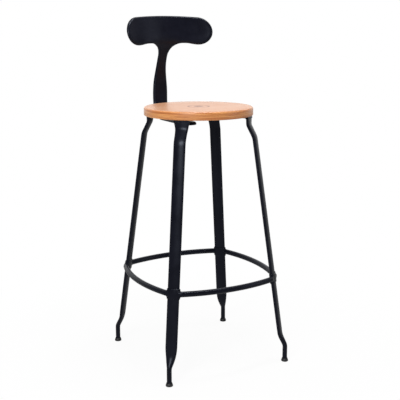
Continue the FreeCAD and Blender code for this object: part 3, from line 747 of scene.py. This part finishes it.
collar_lip = 0.0009
half_height = COLLAR_HEIGHT / 2
band = [(0.0, -half_height)]
band += arc(COLLAR_WALL - collar_lip, collar_lip - half_height, collar_lip, -90, 0, 5)
band += arc(COLLAR_WALL - collar_lip, half_height - collar_lip, collar_lip, 0, 90, 5)
band += [(0.0, half_height)]
for place_name, degrees in LEG_ANGLES.items():
    middle_point, sideward, across_leg, down = shank_place(degrees, FOOTREST_HEIGHT)
    points = []
    rows = []
    for grow_by, drop in band:
        ring = oval_ring(LEG_WIDTH, LEG_DEPTH, grow_by, 72)
        rows.append(list(range(len(points), len(points) + len(ring))))
        points += [middle_point + sideward * side + across_leg * out + down * drop for side, out in ring]
    node = "footrest_collar_" + place_name
    solid_piece(node + "_sleeve", points, stitch(rows, True), black_steel, "black_steel", node)

# %% [markdown]
# ## Footrest bars
# Four round bars, each bent to a shallow bow, run from sleeve to sleeve.  A bar is an arc swept with
# a circle, so a tree with the bow's radius and angle as inputs draws one, and is asked four times.

# %% Bar sizes
BAR_RADIUS = 0.008
BAR_MID_RADIUS = 0.200
BAR_BITE = 0.012
BAR_FLAT_INSET = 0.0018
sleeve_side = LEG_WIDTH / 2 + COLLAR_WALL
shank_radius = shank_place(0, FOOTREST_HEIGHT)[0].x
half_span = (shank_radius - sleeve_side) / math.sqrt(2)
sagitta = BAR_MID_RADIUS - (shank_radius + sleeve_side) / math.sqrt(2)
bow_radius = (half_span ** 2 + sagitta ** 2) / (2 * sagitta)
half_swing = math.asin(half_span / bow_radius) + BAR_BITE / bow_radius
bow_centre = BAR_MID_RADIUS - bow_radius
print("bow radius", round(bow_radius, 3), "half angle", round(math.degrees(half_swing), 2))

# %% The bowed-bar tree
bar_tree, start, end = new_grower("bowed_bar", [
    ("Bow Radius", FLOAT, bow_radius), ("Half Angle", FLOAT, half_swing),
    ("Bar Radius", FLOAT, BAR_RADIUS),
    ("Centre", VECTOR, None), ("Height", FLOAT, FOOTREST_HEIGHT), ("Turn", FLOAT, 0.0),
    ("Flat Place", VECTOR, None), ("Flat Facing", VECTOR, None),
])
t = bar_tree
bow = add(t, "GeometryNodeCurveArc", {
    "Resolution": 80, "Radius": start["Bow Radius"],
    "Start Angle": calc(t, "SUBTRACT", math.pi / 2, start["Half Angle"]),
    "Sweep Angle": calc(t, "MULTIPLY", start["Half Angle"], 2.0),
}).outputs[0]
ring = {"Resolution": 36, "Radius": start["Bar Radius"]}
ring = add(t, "GeometryNodeCurvePrimitiveCircle", ring).outputs[0]
bar = {"Curve": bow, "Profile Curve": ring, "Fill Caps": True}
bar = add(t, "GeometryNodeCurveToMesh", bar).outputs[0]
lift = add(t, "ShaderNodeCombineXYZ", {
    1: calc(t, "SUBTRACT", BAR_MID_RADIUS, start["Bow Radius"]), 2: start["Height"],
}).outputs[0]
bar = add(t, "GeometryNodeTransform", {"Geometry": bar, "Translation": lift}).outputs[0]

where = add(t, "GeometryNodeInputPosition").outputs[0]
mirror_side = calc(t, "SIGN", add(t, "ShaderNodeSeparateXYZ", {0: where}).outputs["X"])
mirror = add(t, "ShaderNodeCombineXYZ", {0: mirror_side, 1: 1.0, 2: 1.0}).outputs[0]
from_flat = vector_calc(t, "SUBTRACT", vector_calc(t, "MULTIPLY", where, mirror), start["Flat Place"])
ends = {0: from_flat, 1: start["Flat Facing"]}
proud = add(t, "ShaderNodeVectorMath", ends, operation="DOT_PRODUCT").outputs["Value"]
push = scaled(t, start["Flat Facing"], calc(t, "MULTIPLY", calc(t, "MAXIMUM", proud, 0.0), -1.0))
bar = add(t, "GeometryNodeSetPosition", {
    "Geometry": bar, "Offset": vector_calc(t, "MULTIPLY", push, mirror),
}).outputs[0]
swing = add(t, "ShaderNodeCombineXYZ", {2: start["Turn"]}).outputs[0]
swing = add(t, "FunctionNodeEulerToRotation", {0: swing}).outputs[0]
bar = add(t, "GeometryNodeTransform", {
    "Geometry": bar, "Rotation": swing, "Translation": start["Centre"],
}).outputs[0]
finish_grower(t, start, end, bar)
print("bar tree has", len(t.nodes), "nodes")

# %% The four bars
BAR_TURNS = {"rear": 0, "left": 90, "front": 180, "right": 270}
sleeve_middle, _, sleeve_facing, _ = shank_place(LEG_ANGLES["rear_right"], FOOTREST_HEIGHT)
flat_place = sleeve_middle + sleeve_facing * (LEG_DEPTH / 2 + COLLAR_WALL - BAR_FLAT_INSET)
for place_name, degrees in BAR_TURNS.items():
    guide = new_object("footrest_bar_" + place_name + "_tube", [], [])
    grow(guide, bar_tree, black_steel, {
        "Centre": (0.0, axis_y, 0.0), "Turn": math.radians(degrees),
        "Flat Place": flat_place, "Flat Facing": sleeve_facing,
    })
    show(guide, "black_steel", "footrest_bar_" + place_name)

# %% [markdown]
# ## Weld beads
# Each bar is welded to its sleeves, each sleeve to its leg, and each leg to the plate.  A weld bead
# is a row of small overlapping scales.  The tree follows a closed path with a small circle whose
# size swells and shrinks along the way, a little unevenly, as a hand-made weld does.

# %% The weld tree
weld_tree, start, end = new_grower("weld_bead", [
    ("Bead Radius", FLOAT, 0.0014), ("Scale Length", FLOAT, 0.0022), ("Scale Depth", FLOAT, 0.12),
    ("Unevenness", FLOAT, 0.35), ("Seed", FLOAT, 7.0),
])
t = weld_tree
seam = add(t, "GeometryNodeMeshToCurve", {0: start["Guide"]}).outputs[0]
seam = add(t, "GeometryNodeResampleCurve", {"Curve": seam, "Length": 0.0006}, mode="LENGTH").outputs[0]
travelled = add(t, "GeometryNodeSplineParameter").outputs["Length"]
beat = calc(t, "MULTIPLY", calc(t, "DIVIDE", travelled, start["Scale Length"]), 2 * math.pi)
beat = calc(t, "MULTIPLY", calc(t, "SINE", beat), start["Scale Depth"])
drift = add(t, "ShaderNodeTexNoise", {
    "Vector": add(t, "GeometryNodeInputPosition").outputs[0], "W": start["Seed"], "Scale": 140.0,
}, noise_dimensions="4D").outputs[0]
drift = calc(t, "MULTIPLY", calc(t, "SUBTRACT", drift, 0.5), start["Unevenness"])
swell = calc(t, "ADD", calc(t, "ADD", 1.0, beat), drift)
ring = {"Resolution": 10, "Radius": start["Bead Radius"]}
ring = add(t, "GeometryNodeCurvePrimitiveCircle", ring).outputs[0]
bead = {"Curve": seam, "Profile Curve": ring, "Scale": swell}
bead = add(t, "GeometryNodeCurveToMesh", bead).outputs[0]
finish_grower(t, start, end, bead)
print("weld tree has", len(t.nodes), "nodes")

# %% Where a bar meets a sleeve
def outside_sleeve(point, degrees):
    """How far a point is outside the sleeve on the leg at that angle; negative is inside."""
    middle_point, sideward, across_leg, _ = shank_place(degrees, FOOTREST_HEIGHT)
    offset = point - middle_point
    side = abs(offset.dot(sideward))
    out = abs(offset.dot(across_leg))
    angle, spread, edge = oval_arcs(LEG_WIDTH, LEG_DEPTH)
    drop = spread * math.cos(angle)
    if math.atan2(side, out + drop) < angle:
        return math.hypot(side, out + drop) - spread - edge - COLLAR_WALL
    return math.hypot(side - spread * math.sin(angle), out) - edge - COLLAR_WALL


def bar_skin_point(swing, turn, radius):
    """A point on the skin of the rear bar, at an angle along its bow and one round its section."""
    reach = bow_radius + radius * math.cos(turn)
    height = FOOTREST_HEIGHT + radius * math.sin(turn)
    return Vector((reach * math.sin(swing), bow_centre + reach * math.cos(swing), height))


def bar_seam(radius, count=40):
    """The closed line where the rear bar's skin enters the sleeve on its right."""
    seam_points = []
    for step in range(count):
        turn = 2 * math.pi * step / count
        outer, inner = half_swing * 0.8, half_swing * 1.1
        for _ in range(24):
            tried = (outer + inner) / 2
            if outside_sleeve(bar_skin_point(tried, turn, radius), 45) > 0:
                outer = tried
            else:
                inner = tried
        found = bar_skin_point(outer, turn, radius)
        proud = (found - flat_place).dot(sleeve_facing)
        seam_points.append(found - sleeve_facing * max(0.0, proud))
    return seam_points


def weld_guide(name, loops):
    points = []
    links = []
    for loop in loops:
        start_number = len(points)
        count = len(loop)
        points += loop
        links += [(start_number + step, start_number + (step + 1) % count) for step in range(count)]
    return new_object(name, points, [], links)


seam = bar_seam(BAR_RADIUS + 0.0002)
mirrored = [Vector((-point.x, point.y, point.z)) for point in seam]
bar_loops = []
for degrees in BAR_TURNS.values():
    swing = Matrix.Rotation(math.radians(degrees), 3, "Z")
    bar_loops += [[swing @ point for point in seam], [swing @ point for point in mirrored]]
guide = weld_guide("footrest_bar_welds", bar_loops)
grow(guide, weld_tree, black_steel, {"Bead Radius": 0.0015, "Scale Length": 0.0024})
show(guide, "black_steel")

# %% Welds round the sleeves and the tops of the legs
sleeve_loops = []
top_loops = []
for degrees in LEG_ANGLES.values():
    middle_point, sideward, across_leg, down = shank_place(degrees, FOOTREST_HEIGHT)
    for drop in (-half_height, half_height):
        ring = oval_ring(LEG_WIDTH, LEG_DEPTH, 0.0004, 60)
        sleeve_loops.append(
            [middle_point + sideward * side + across_leg * out + down * drop for side, out in ring]
        )
    outward, sideward = bearing(degrees)
    top_middle = outward * leg_corners[0][0] + Vector((0, 0, plate_under - 0.0008))
    ring = oval_ring(LEG_TOP_WIDTH, LEG_TOP_DEPTH, 0.0004, 60)
    top_loops.append([top_middle + sideward * side + outward * out for side, out in ring])
guide = weld_guide("sleeve_welds", sleeve_loops)
grow(guide, weld_tree, black_steel, {"Bead Radius": 0.0009, "Scale Length": 0.0018, "Seed": 3.0})
show(guide, "black_steel")
guide = weld_guide("leg_top_welds", top_loops)
grow(guide, weld_tree, black_steel, {"Bead Radius": 0.0013, "Scale Length": 0.0022, "Seed": 5.0})
show(guide, "black_steel")

# %% [markdown]
# ## Back
# The back is one sheet of steel, pressed like a dish: a flat strap under the seat turns up in a
# bend, leans over the seat as a narrow neck, and opens into a whale's tail that wraps forward.  Its
# whole edge is turned back.  The sheet is drawn flat first, where x is across and t runs along its
# length, filled with triangles, and then every point is carried onto the bent sheet.  The turned
# edge is a set of rings that follow the outline inwards, each at its own depth.

# %% Back sizes
SHEET = 0.0025
FLANGE = 0.009
EDGE_BEND = 0.0066
STRAP_HALF = 0.024
STRAP_TIP = 0.042
STEM_OFFSET = 0.258
BEND_RADIUS = 0.050
STEM_UPRIGHT_RISE = 0.040
LEAN_RADIUS = 0.224
LEAN_ANGLE = math.radians(35.5)
NECK_HALF = 0.015
NECK_RISE = 0.133
CURL_RADIUS = 0.040
TAIL_RISE = 0.258
LOBE_RADIUS = 0.0415
TAIL_HALF = 0.1395
TOP_RADIUS = 1.260
ARCH_RADIUS = 0.043
TAIL_TILT = math.radians(12.5)
WRAP_RADIUS = 0.282
TAIL_BLEND = 0.035
WRAP_START_RISE = 0.100
WRAP_FULL_RISE = 0.150
strap_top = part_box("back_rest")[0].z + FLANGE
bend_top = strap_top + BEND_RADIUS
upright_top = seat_top + STEM_UPRIGHT_RISE
neck_height = seat_top + NECK_RISE
tail_top = seat_top + TAIL_RISE
print("strap top", round(strap_top, 4), "neck", round(neck_height, 4), "tail top", round(tail_top, 4))

# %% The bent surface
def smooth_step(share):
    share = min(max(share, 0.0), 1.0)
    return share * share * (3 - 2 * share)


def stem_front(height):
    """Distance from the seat's axis to the front of the sheet, on the middle line."""
    rise = height - upright_top
    lean_rise = LEAN_RADIUS * math.sin(LEAN_ANGLE)
    curl_rise = CURL_RADIUS * (math.sin(LEAN_ANGLE) + math.sin(TAIL_TILT))
    curl_start = STEM_OFFSET - LEAN_RADIUS * (1 - math.cos(LEAN_ANGLE))
    if rise <= 0:
        return STEM_OFFSET
    if rise <= lean_rise:
        return STEM_OFFSET - LEAN_RADIUS + math.sqrt(LEAN_RADIUS ** 2 - rise ** 2)
    if rise <= lean_rise + curl_rise:
        below = CURL_RADIUS * math.sin(LEAN_ANGLE) - (rise - lean_rise)
        return curl_start - math.sqrt(CURL_RADIUS ** 2 - below ** 2) + CURL_RADIUS * math.cos(LEAN_ANGLE)
    curl_end = curl_start - CURL_RADIUS * (math.cos(TAIL_TILT) - math.cos(LEAN_ANGLE))
    return curl_end + (rise - lean_rise - curl_rise) * math.tan(TAIL_TILT)


def back_front(x, height):
    """The same distance anywhere on the stem or the tail."""
    wing = stem_front(tail_top) - (tail_top - height) * math.tan(TAIL_TILT)
    share = smooth_step(1 - (abs(x) - STRAP_HALF) / TAIL_BLEND)
    flat = wing + (stem_front(height) - wing) * share
    wrap = WRAP_RADIUS - math.sqrt(WRAP_RADIUS ** 2 - x ** 2)
    start, full = seat_top + WRAP_START_RISE, seat_top + WRAP_FULL_RISE
    return flat - wrap * smooth_step((height - start) / (full - start))


def on_sheet(x, t, depth):
    """A flat point carried onto the bent sheet, and then backwards by a depth."""
    if t >= bend_top:
        nudge = 0.0005
        here = Vector((x, back_front(x, t), t))
        across = Vector((2 * nudge, back_front(x + nudge, t) - back_front(x - nudge, t), 0))
        upward = Vector((0, back_front(x, t + nudge) - back_front(x, t - nudge), 2 * nudge))
        return here + upward.cross(across).normalized() * depth
    centre_y = STEM_OFFSET - BEND_RADIUS
    angle = (bend_top - t) / BEND_RADIUS
    if angle < math.pi / 2:
        reach = BEND_RADIUS + depth
        return Vector((x, centre_y + reach * math.cos(angle), bend_top - reach * math.sin(angle)))
    return Vector((x, centre_y - (angle - math.pi / 2) * BEND_RADIUS, strap_top - depth))


print("stem stands", round(STEM_OFFSET * 1000), "mm behind the seat's axis")

# %% The flat outline
def bezier(p0, p1, p2, p3, steps):
    points = []
    for step in range(steps + 1):
        s = step / steps
        weights = ((1 - s) ** 3, 3 * s * (1 - s) ** 2, 3 * s * s * (1 - s), s ** 3)
        pulls = list(zip(weights, (p0, p1, p2, p3)))
        points.append(tuple(sum(weight * p[axis] for weight, p in pulls) for axis in (0, 1)))
    return points


def straight(p0, p1, steps):
    run, rise = p1[0] - p0[0], p1[1] - p0[1]
    return [(p0[0] + run * s / steps, p0[1] + rise * s / steps) for s in range(steps + 1)]


strap_run = STEM_OFFSET - BEND_RADIUS - STRAP_TIP
flat_tip = bend_top - BEND_RADIUS * math.pi / 2 - strap_run
shoulder = (bend_top + upright_top) / 2
arch_x = NECK_HALF + ARCH_RADIUS
lobe_x = TAIL_HALF - LOBE_RADIUS
top_centre = tail_top - TOP_RADIUS
lobe_z = top_centre + math.sqrt((TOP_RADIUS - LOBE_RADIUS) ** 2 - lobe_x ** 2)
top_lean = math.degrees(math.atan2(lobe_x, lobe_z - top_centre))
right_side = arc(0.0, flat_tip + STRAP_HALF, STRAP_HALF, -90, 0, 14)
right_side += straight((STRAP_HALF, flat_tip + STRAP_HALF), (STRAP_HALF, shoulder), 90)[1:]
right_side += bezier(
    (STRAP_HALF, shoulder), (STRAP_HALF, shoulder + (neck_height - shoulder) * 0.40),
    (NECK_HALF, neck_height - (neck_height - shoulder) * 0.45), (NECK_HALF, neck_height), 44,
)[1:]
right_side += arc(arch_x, neck_height, ARCH_RADIUS, 180, 90, 26)[1:]
arch_top = neck_height + ARCH_RADIUS
right_side += bezier(
    (arch_x, arch_top), (arch_x + (lobe_x - arch_x) * 0.4, arch_top),
    (lobe_x - (lobe_x - arch_x) * 0.4, lobe_z - LOBE_RADIUS), (lobe_x, lobe_z - LOBE_RADIUS), 22,
)[1:]
right_side += arc(lobe_x, lobe_z, LOBE_RADIUS, -90, 90 - top_lean, 50)[1:]
right_side += arc(0.0, top_centre, TOP_RADIUS, 90 - top_lean, 90, 40)[1:]
outline = right_side + [(-x, z) for x, z in reversed(right_side[1:-1])]
print("back outline has", len(outline), "points")

# %% Rings of the turned edge, and the filling
def outline_normals(points):
    """Unit normals that point out of an outline drawn anticlockwise."""
    normals = []
    count = len(points)
    for number in range(count):
        before, after = points[number - 1], points[(number + 1) % count]
        run = Vector((after[0] - before[0], after[1] - before[1])).normalized()
        normals.append((run.y, -run.x))
    return normals


normals = outline_normals(outline)


def inset(distance):
    return [(p[0] - n[0] * distance, p[1] - n[1] * distance) for p, n in zip(outline, normals)]


inner_bend = EDGE_BEND - SHEET
lip_radius = SHEET / 2
rim = arc(EDGE_BEND, EDGE_BEND, EDGE_BEND, 270, 180, 8)
rim += [(0.0, FLANGE * 0.66)]
rim += arc(lip_radius, FLANGE - lip_radius, lip_radius, 180, 0, 8)
rim += [(SHEET, FLANGE * 0.66)]
rim += arc(EDGE_BEND, EDGE_BEND, inner_bend, 180, 270, 6)

BOLT_PLACES = (0.062, 0.118)
BOLT_HOLE = 0.00425
FILL_STEP = 0.0035


def flat_strap_t(distance):
    """Where a point of the strap, that far behind the seat's axis, lies on the flat sheet."""
    return flat_tip + distance - STRAP_TIP


holes = [arc(0.0, flat_strap_t(place), BOLT_HOLE, 0, 345, 23) for place in BOLT_PLACES]


def inside(point, polygon):
    """Even-odd test."""
    x, z = point
    odd = False
    for (x0, z0), (x1, z1) in zip(polygon, polygon[1:] + polygon[:1]):
        if (z0 > z) != (z1 > z) and x < (x1 - x0) * (z - z0) / (z1 - z0) + x0:
            odd = not odd
    return odd


def filling(loop):
    """Points and triangles that fill a flat loop round the bolt holes."""
    flat = [Vector(p) for p in loop]
    edges = [(number, (number + 1) % len(loop)) for number in range(len(loop))]
    for hole in holes:
        first = len(flat)
        flat += [Vector(p) for p in hole]
        edges += [(first + number, first + (number + 1) % len(hole)) for number in range(len(hole))]
    fixed = len(flat)
    keep_in = inset(EDGE_BEND + FILL_STEP * 0.6)
    keep_out = [[(x * 1.5, (z - hole_t) * 1.5 + hole_t) for x, z in hole]
                for hole, hole_t in zip(holes, map(flat_strap_t, BOLT_PLACES))]
    rows = int((tail_top - flat_tip) / FILL_STEP)
    for row in range(rows):
        z = flat_tip + (row + 0.5) * FILL_STEP
        wide = TAIL_HALF if z > neck_height else STRAP_HALF
        count = int(wide / FILL_STEP) + 1
        for column in range(-count, count + 1):
            x = (column + 0.5 * (row % 2)) * FILL_STEP
            if inside((x, z), keep_in) and not any(inside((x, z), gap) for gap in keep_out):
                flat.append(Vector((x, z)))
    made, _, triangles, _, _, _ = delaunay_2d_cdt(flat, edges, [], 0, 1e-7)
    kept = []
    for triangle in triangles:
        x = sum(made[number].x for number in triangle) / 3
        z = sum(made[number].y for number in triangle) / 3
        if inside((x, z), loop) and not any(inside((x, z), hole) for hole in holes):
            kept.append(list(triangle))
    print("sheet filled with", len(kept), "triangles,", len(flat) - fixed, "inner points")
    return [(point.x, point.y) for point in made], kept


flat_points, flat_triangles = filling(inset(EDGE_BEND))
sheets = []
for depth in (0.0, SHEET):
    sheets.append(([on_sheet(x, t, depth) for x, t in flat_points], flat_triangles))
rim_points = []
rim_rows = []
for distance, depth in rim:
    rim_rows.append(list(range(len(rim_points), len(rim_points) + len(outline))))
    rim_points += [on_sheet(x, t, depth) for x, t in inset(distance)]
sheets.append((rim_points, stitch(rim_rows, False)))
for hole in holes:
    wall = [[on_sheet(x, t, depth) for x, t in hole] for depth in (0.0, SHEET)]
    count = len(hole)
    wall_rows = [list(range(count)), list(range(count, 2 * count))]
    sheets.append((wall[0] + wall[1], stitch(wall_rows, False)))
points, faces = gathered(sheets)
solid_piece("back_pressing", points, faces, black_steel, "black_steel", "back_rest")

# %% [markdown]
# ## Hardware
# Two hexagon bolts with washers hold the strap from below, with a spacer tube above it at each bolt,
# and four pan-head screws hold the plate to the wood.  Each kind is modelled once and Geometry Nodes
# places the copies, each turned by a random amount, as fasteners are.

# %% The fastener tree
fastener_tree, start, end = new_grower("fastener_set", [
    ("Fastener", "NodeSocketObject", None), ("Seed", "NodeSocketInt", 4),
])
t = fastener_tree
model = add(t, "GeometryNodeObjectInfo", {"Object": start["Fastener"]}).outputs["Geometry"]
spin = add(t, "FunctionNodeRandomValue", {2: 0.0, 3: 2 * math.pi, "Seed": start["Seed"]}).outputs[1]
spin = add(t, "ShaderNodeCombineXYZ", {2: spin}).outputs[0]
spin = add(t, "FunctionNodeEulerToRotation", {0: spin}).outputs[0]
placed = add(t, "GeometryNodeInstanceOnPoints", {
    "Points": start["Guide"], "Instance": model, "Rotation": spin,
}).outputs[0]
finish_grower(t, start, end, placed)
print("fastener tree has", len(t.nodes), "nodes")


def fasteners(name, prototype, places, seed, *nodes):
    """Copies of a fastener, drawn about its own axis, at places round the seat's axis."""
    points, faces = prototype
    mesh = bpy.data.meshes.new(name + "_model")
    mesh.from_pydata(points, [], faces)
    model = bpy.data.objects.new(name + "_model", mesh)
    bpy.context.collection.objects.link(model)
    guide = new_object(name, places, [])
    grow(guide, fastener_tree, zinc_steel, {"Fastener": model, "Seed": seed})
    bpy.data.objects.remove(model)
    return show(guide, "zinc_steel", *nodes)

# %% Bolts, washers and spacers
BOLT_RADIUS = 0.004
HEAD_FLATS = 0.013
HEAD_HEIGHT = 0.0053
WASHER_RADIUS = 0.008
WASHER_THICKNESS = 0.0016
SPACER_RADIUS = 0.009
CHAMFER = 0.0005
web_under = strap_top - SHEET
head_top = web_under - WASHER_THICKNESS
head_low = head_top - HEAD_HEIGHT
bolt_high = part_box("back_bolts")[1]
HEX_STEPS = 96
BEYOND_HEX = 1.0
CROWN_STEPS = (0.0003, 0.0006, 0.0009)
CROWN_SLOPE = math.tan(math.radians(30))


def hex_bolt():
    """A chamfered hexagon head with its shank above it, its axis at the origin."""
    face_radius = HEAD_FLATS / 2 - 0.0003
    shape = [(0.0, head_low), (face_radius * 0.9, head_low), (face_radius, head_low)]
    shape += [(face_radius + rise / CROWN_SLOPE, head_low + rise) for rise in CROWN_STEPS]
    shape += [(BEYOND_HEX, head_low + 0.0012), (BEYOND_HEX, head_top), (BOLT_RADIUS, head_top)]
    shape += [(BOLT_RADIUS, bolt_high.z), (0.0, bolt_high.z)]
    points, faces = lathe(shape, HEX_STEPS)
    limited = []
    for x, y, z in points:
        radius = math.hypot(x, y)
        angle = math.atan2(y, x) % (math.pi / 3) - math.pi / 6
        limit = HEAD_FLATS / 2 / math.cos(angle)
        factor = min(1.0, limit / radius) if radius > 0 else 1.0
        limited.append((x * factor, y * factor, z))
    return limited, faces


def ring_profile(outer, inner, low, high, chamfer):
    """A closed profile of a ring with broken edges."""
    return [
        (inner, low + chamfer), (inner + chamfer, low),
        (outer - chamfer, low), (outer, low + chamfer),
        (outer, high - chamfer), (outer - chamfer, high),
        (inner + chamfer, high), (inner, high - chamfer),
    ]


bolt_places = [(0.0, place, 0.0) for place in BOLT_PLACES]
fasteners("hex_bolts", hex_bolt(), bolt_places, 11, "back_bolts")
washer = ring_profile(WASHER_RADIUS, BOLT_HOLE, web_under - WASHER_THICKNESS, web_under, 0.0003)
fasteners("plain_washers", lathe(washer, 48, closed=True), bolt_places, 2, "back_washers")
spacer = ring_profile(SPACER_RADIUS, BOLT_HOLE, strap_top, plate_under, CHAMFER)
fasteners("spacer_tubes", lathe(spacer, 48, closed=True), bolt_places, 3, "back_spacers")

# %% Screws in the plate
SCREW_RADIUS = 0.112
SCREW_HEAD = 0.0045
SCREW_SHANK = 0.00225
SCREW_RISE = 0.003
SLOT_HALF = 0.0005
SLOT_REACH = 0.0024
SLOT_DEPTH = 0.0014


def pan_screw():
    """A pan head with a cross recess, below its shank."""
    low = plate_under - SCREW_RISE
    shape = [(0.0, low)] + [(step * 0.00012, low) for step in range(1, 24)]
    shape += arc(SCREW_HEAD - SCREW_RISE / 2, low + SCREW_RISE / 2, SCREW_RISE / 2, -90, 0, 6)
    shape += [(SCREW_HEAD, plate_under), (SCREW_SHANK, plate_under)]
    shape += [(SCREW_SHANK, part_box("seat_screws")[1].z), (0.0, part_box("seat_screws")[1].z)]
    points, faces = lathe(shape, 72)
    cut = []
    for x, y, z in points:
        in_cross = min(abs(x), abs(y)) < SLOT_HALF and max(abs(x), abs(y)) < SLOT_REACH
        cut.append((x, y, z + SLOT_DEPTH if in_cross and z < low + 1e-6 else z))
    return cut, faces


screw_places = [bearing(degrees)[0] * SCREW_RADIUS for degrees in LEG_ANGLES.values()]
fasteners("plate_screws", pan_screw(), screw_places, 9, "seat_screws")

# %% [markdown]
# ## What stays from the CAD model
# The spider plate and the threaded inserts already have their true shape: a flat laser-cut plate and
# plain bushes inside the wood.  They only get their finish.

# %% Plate and inserts
for node, material in (("seat_plate", black_steel), ("seat_inserts", zinc_steel)):
    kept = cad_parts[node]
    kept.data.materials.clear()
    kept.data.materials.append(material)
    print(node, "keeps its mesh and gets", material.name)

# %% [markdown]
# ## Floor and light
# The stool stands in a plain white studio: a pale floor that fades into a white surround, one large
# soft light from the front left, a weaker one from the right, and a narrow strip overhead that
# draws a line along the upper edges.  The surround is bright behind the stool and dim towards the
# camera, and the floor lights the stool less than its look suggests, so that black steel stays
# black and the varnish picks up a sheen.

# %% Floor
FLOOR_SIZE = 12.0
FLOOR_GLOW = 0.45
FADE_START, FADE_END = 0.2, 0.9
NEAR_SHARE = 0.93
floor_mesh = bpy.data.meshes.new("floor")
edge = FLOOR_SIZE / 2
floor_corners = [(-edge, -edge, 0), (edge, -edge, 0), (edge, edge, 0), (-edge, edge, 0)]
floor_mesh.from_pydata(floor_corners, [], [(0, 1, 2, 3)])
floor = bpy.data.objects.new("floor", floor_mesh)
bpy.context.collection.objects.link(floor)
floor_material, tree, shader, place = new_material("pale_floor")
shader.inputs["Base Color"].default_value = (0.9, 0.9, 0.9, 1)
shader.inputs["Roughness"].default_value = 0.9
shader.inputs["Specular IOR Level"].default_value = 0.1
seen = add(tree, "ShaderNodeLightPath").outputs["Is Camera Ray"]
strength = ramp(tree, seen, 0.0, 1.0, FLOOR_GLOW, 1.0)
glow = add(tree, "ShaderNodeEmission", {"Color": (1, 1, 1, 1), "Strength": strength}).outputs[0]
reach = add(tree, "ShaderNodeVectorMath", {0: place}, operation="LENGTH").outputs["Value"]
share = ramp(tree, reach, FADE_START, FADE_END, NEAR_SHARE, 1.0)
mixed = add(tree, "ShaderNodeMixShader", {0: share, 1: shader.outputs[0], 2: glow}).outputs[0]
tree.links.new(mixed, tree.nodes["Material Output"].inputs["Surface"])
floor_mesh.materials.append(floor_material)
print("floor is all glow beyond", FADE_END, "m")

# %% Surround
world = bpy.data.worlds.new("studio")
world.use_nodes = True
bpy.context.scene.world = world
tree = world.node_tree
background = tree.nodes["Background"]
direction = add(tree, "ShaderNodeTexCoord").outputs["Generated"]
BACKDROP = (0.46, 0.85, 0.25)
DIM_FACING, BRIGHT_FACING = 0.05, 0.85
DIM_GLOW = 0.10
facing = {0: direction, 1: BACKDROP}
facing = add(tree, "ShaderNodeVectorMath", facing, operation="DOT_PRODUCT").outputs["Value"]
glow = ramp(tree, facing, DIM_FACING, BRIGHT_FACING, DIM_GLOW, 1.0)
seen = add(tree, "ShaderNodeLightPath").outputs["Is Camera Ray"]
strength = calc(tree, "ADD", calc(tree, "MULTIPLY", glow, calc(tree, "SUBTRACT", 1.0, seen)), seen)
tree.links.new(strength, background.inputs["Strength"])
background.inputs["Color"].default_value = (1, 1, 1, 1)
print("surround is brightest towards", BACKDROP)

# %% Lights
def soft_light(name, place, target, size, power):
    data = bpy.data.lights.new(name, "AREA")
    data.shape = "RECTANGLE"
    data.size, data.size_y = size
    data.energy = power
    light = bpy.data.objects.new(name, data)
    light.location = place
    light.rotation_euler = (Vector(place) - Vector(target)).to_track_quat("Z", "Y").to_euler()
    bpy.context.collection.objects.link(light)


soft_light("key", (-2.1, -1.9, 1.75), (0, 0, 0.7), (1.1, 1.1), 54.0)
soft_light("fill", (1.8, -1.6, 1.2), (0, 0, 0.5), (0.6, 1.6), 5.0)
soft_light("rim", (0.15, -0.25, 2.5), (0.05, 0.2, 1.0), (1.2, 0.25), 22.0)
print("lights", len(bpy.data.lights))
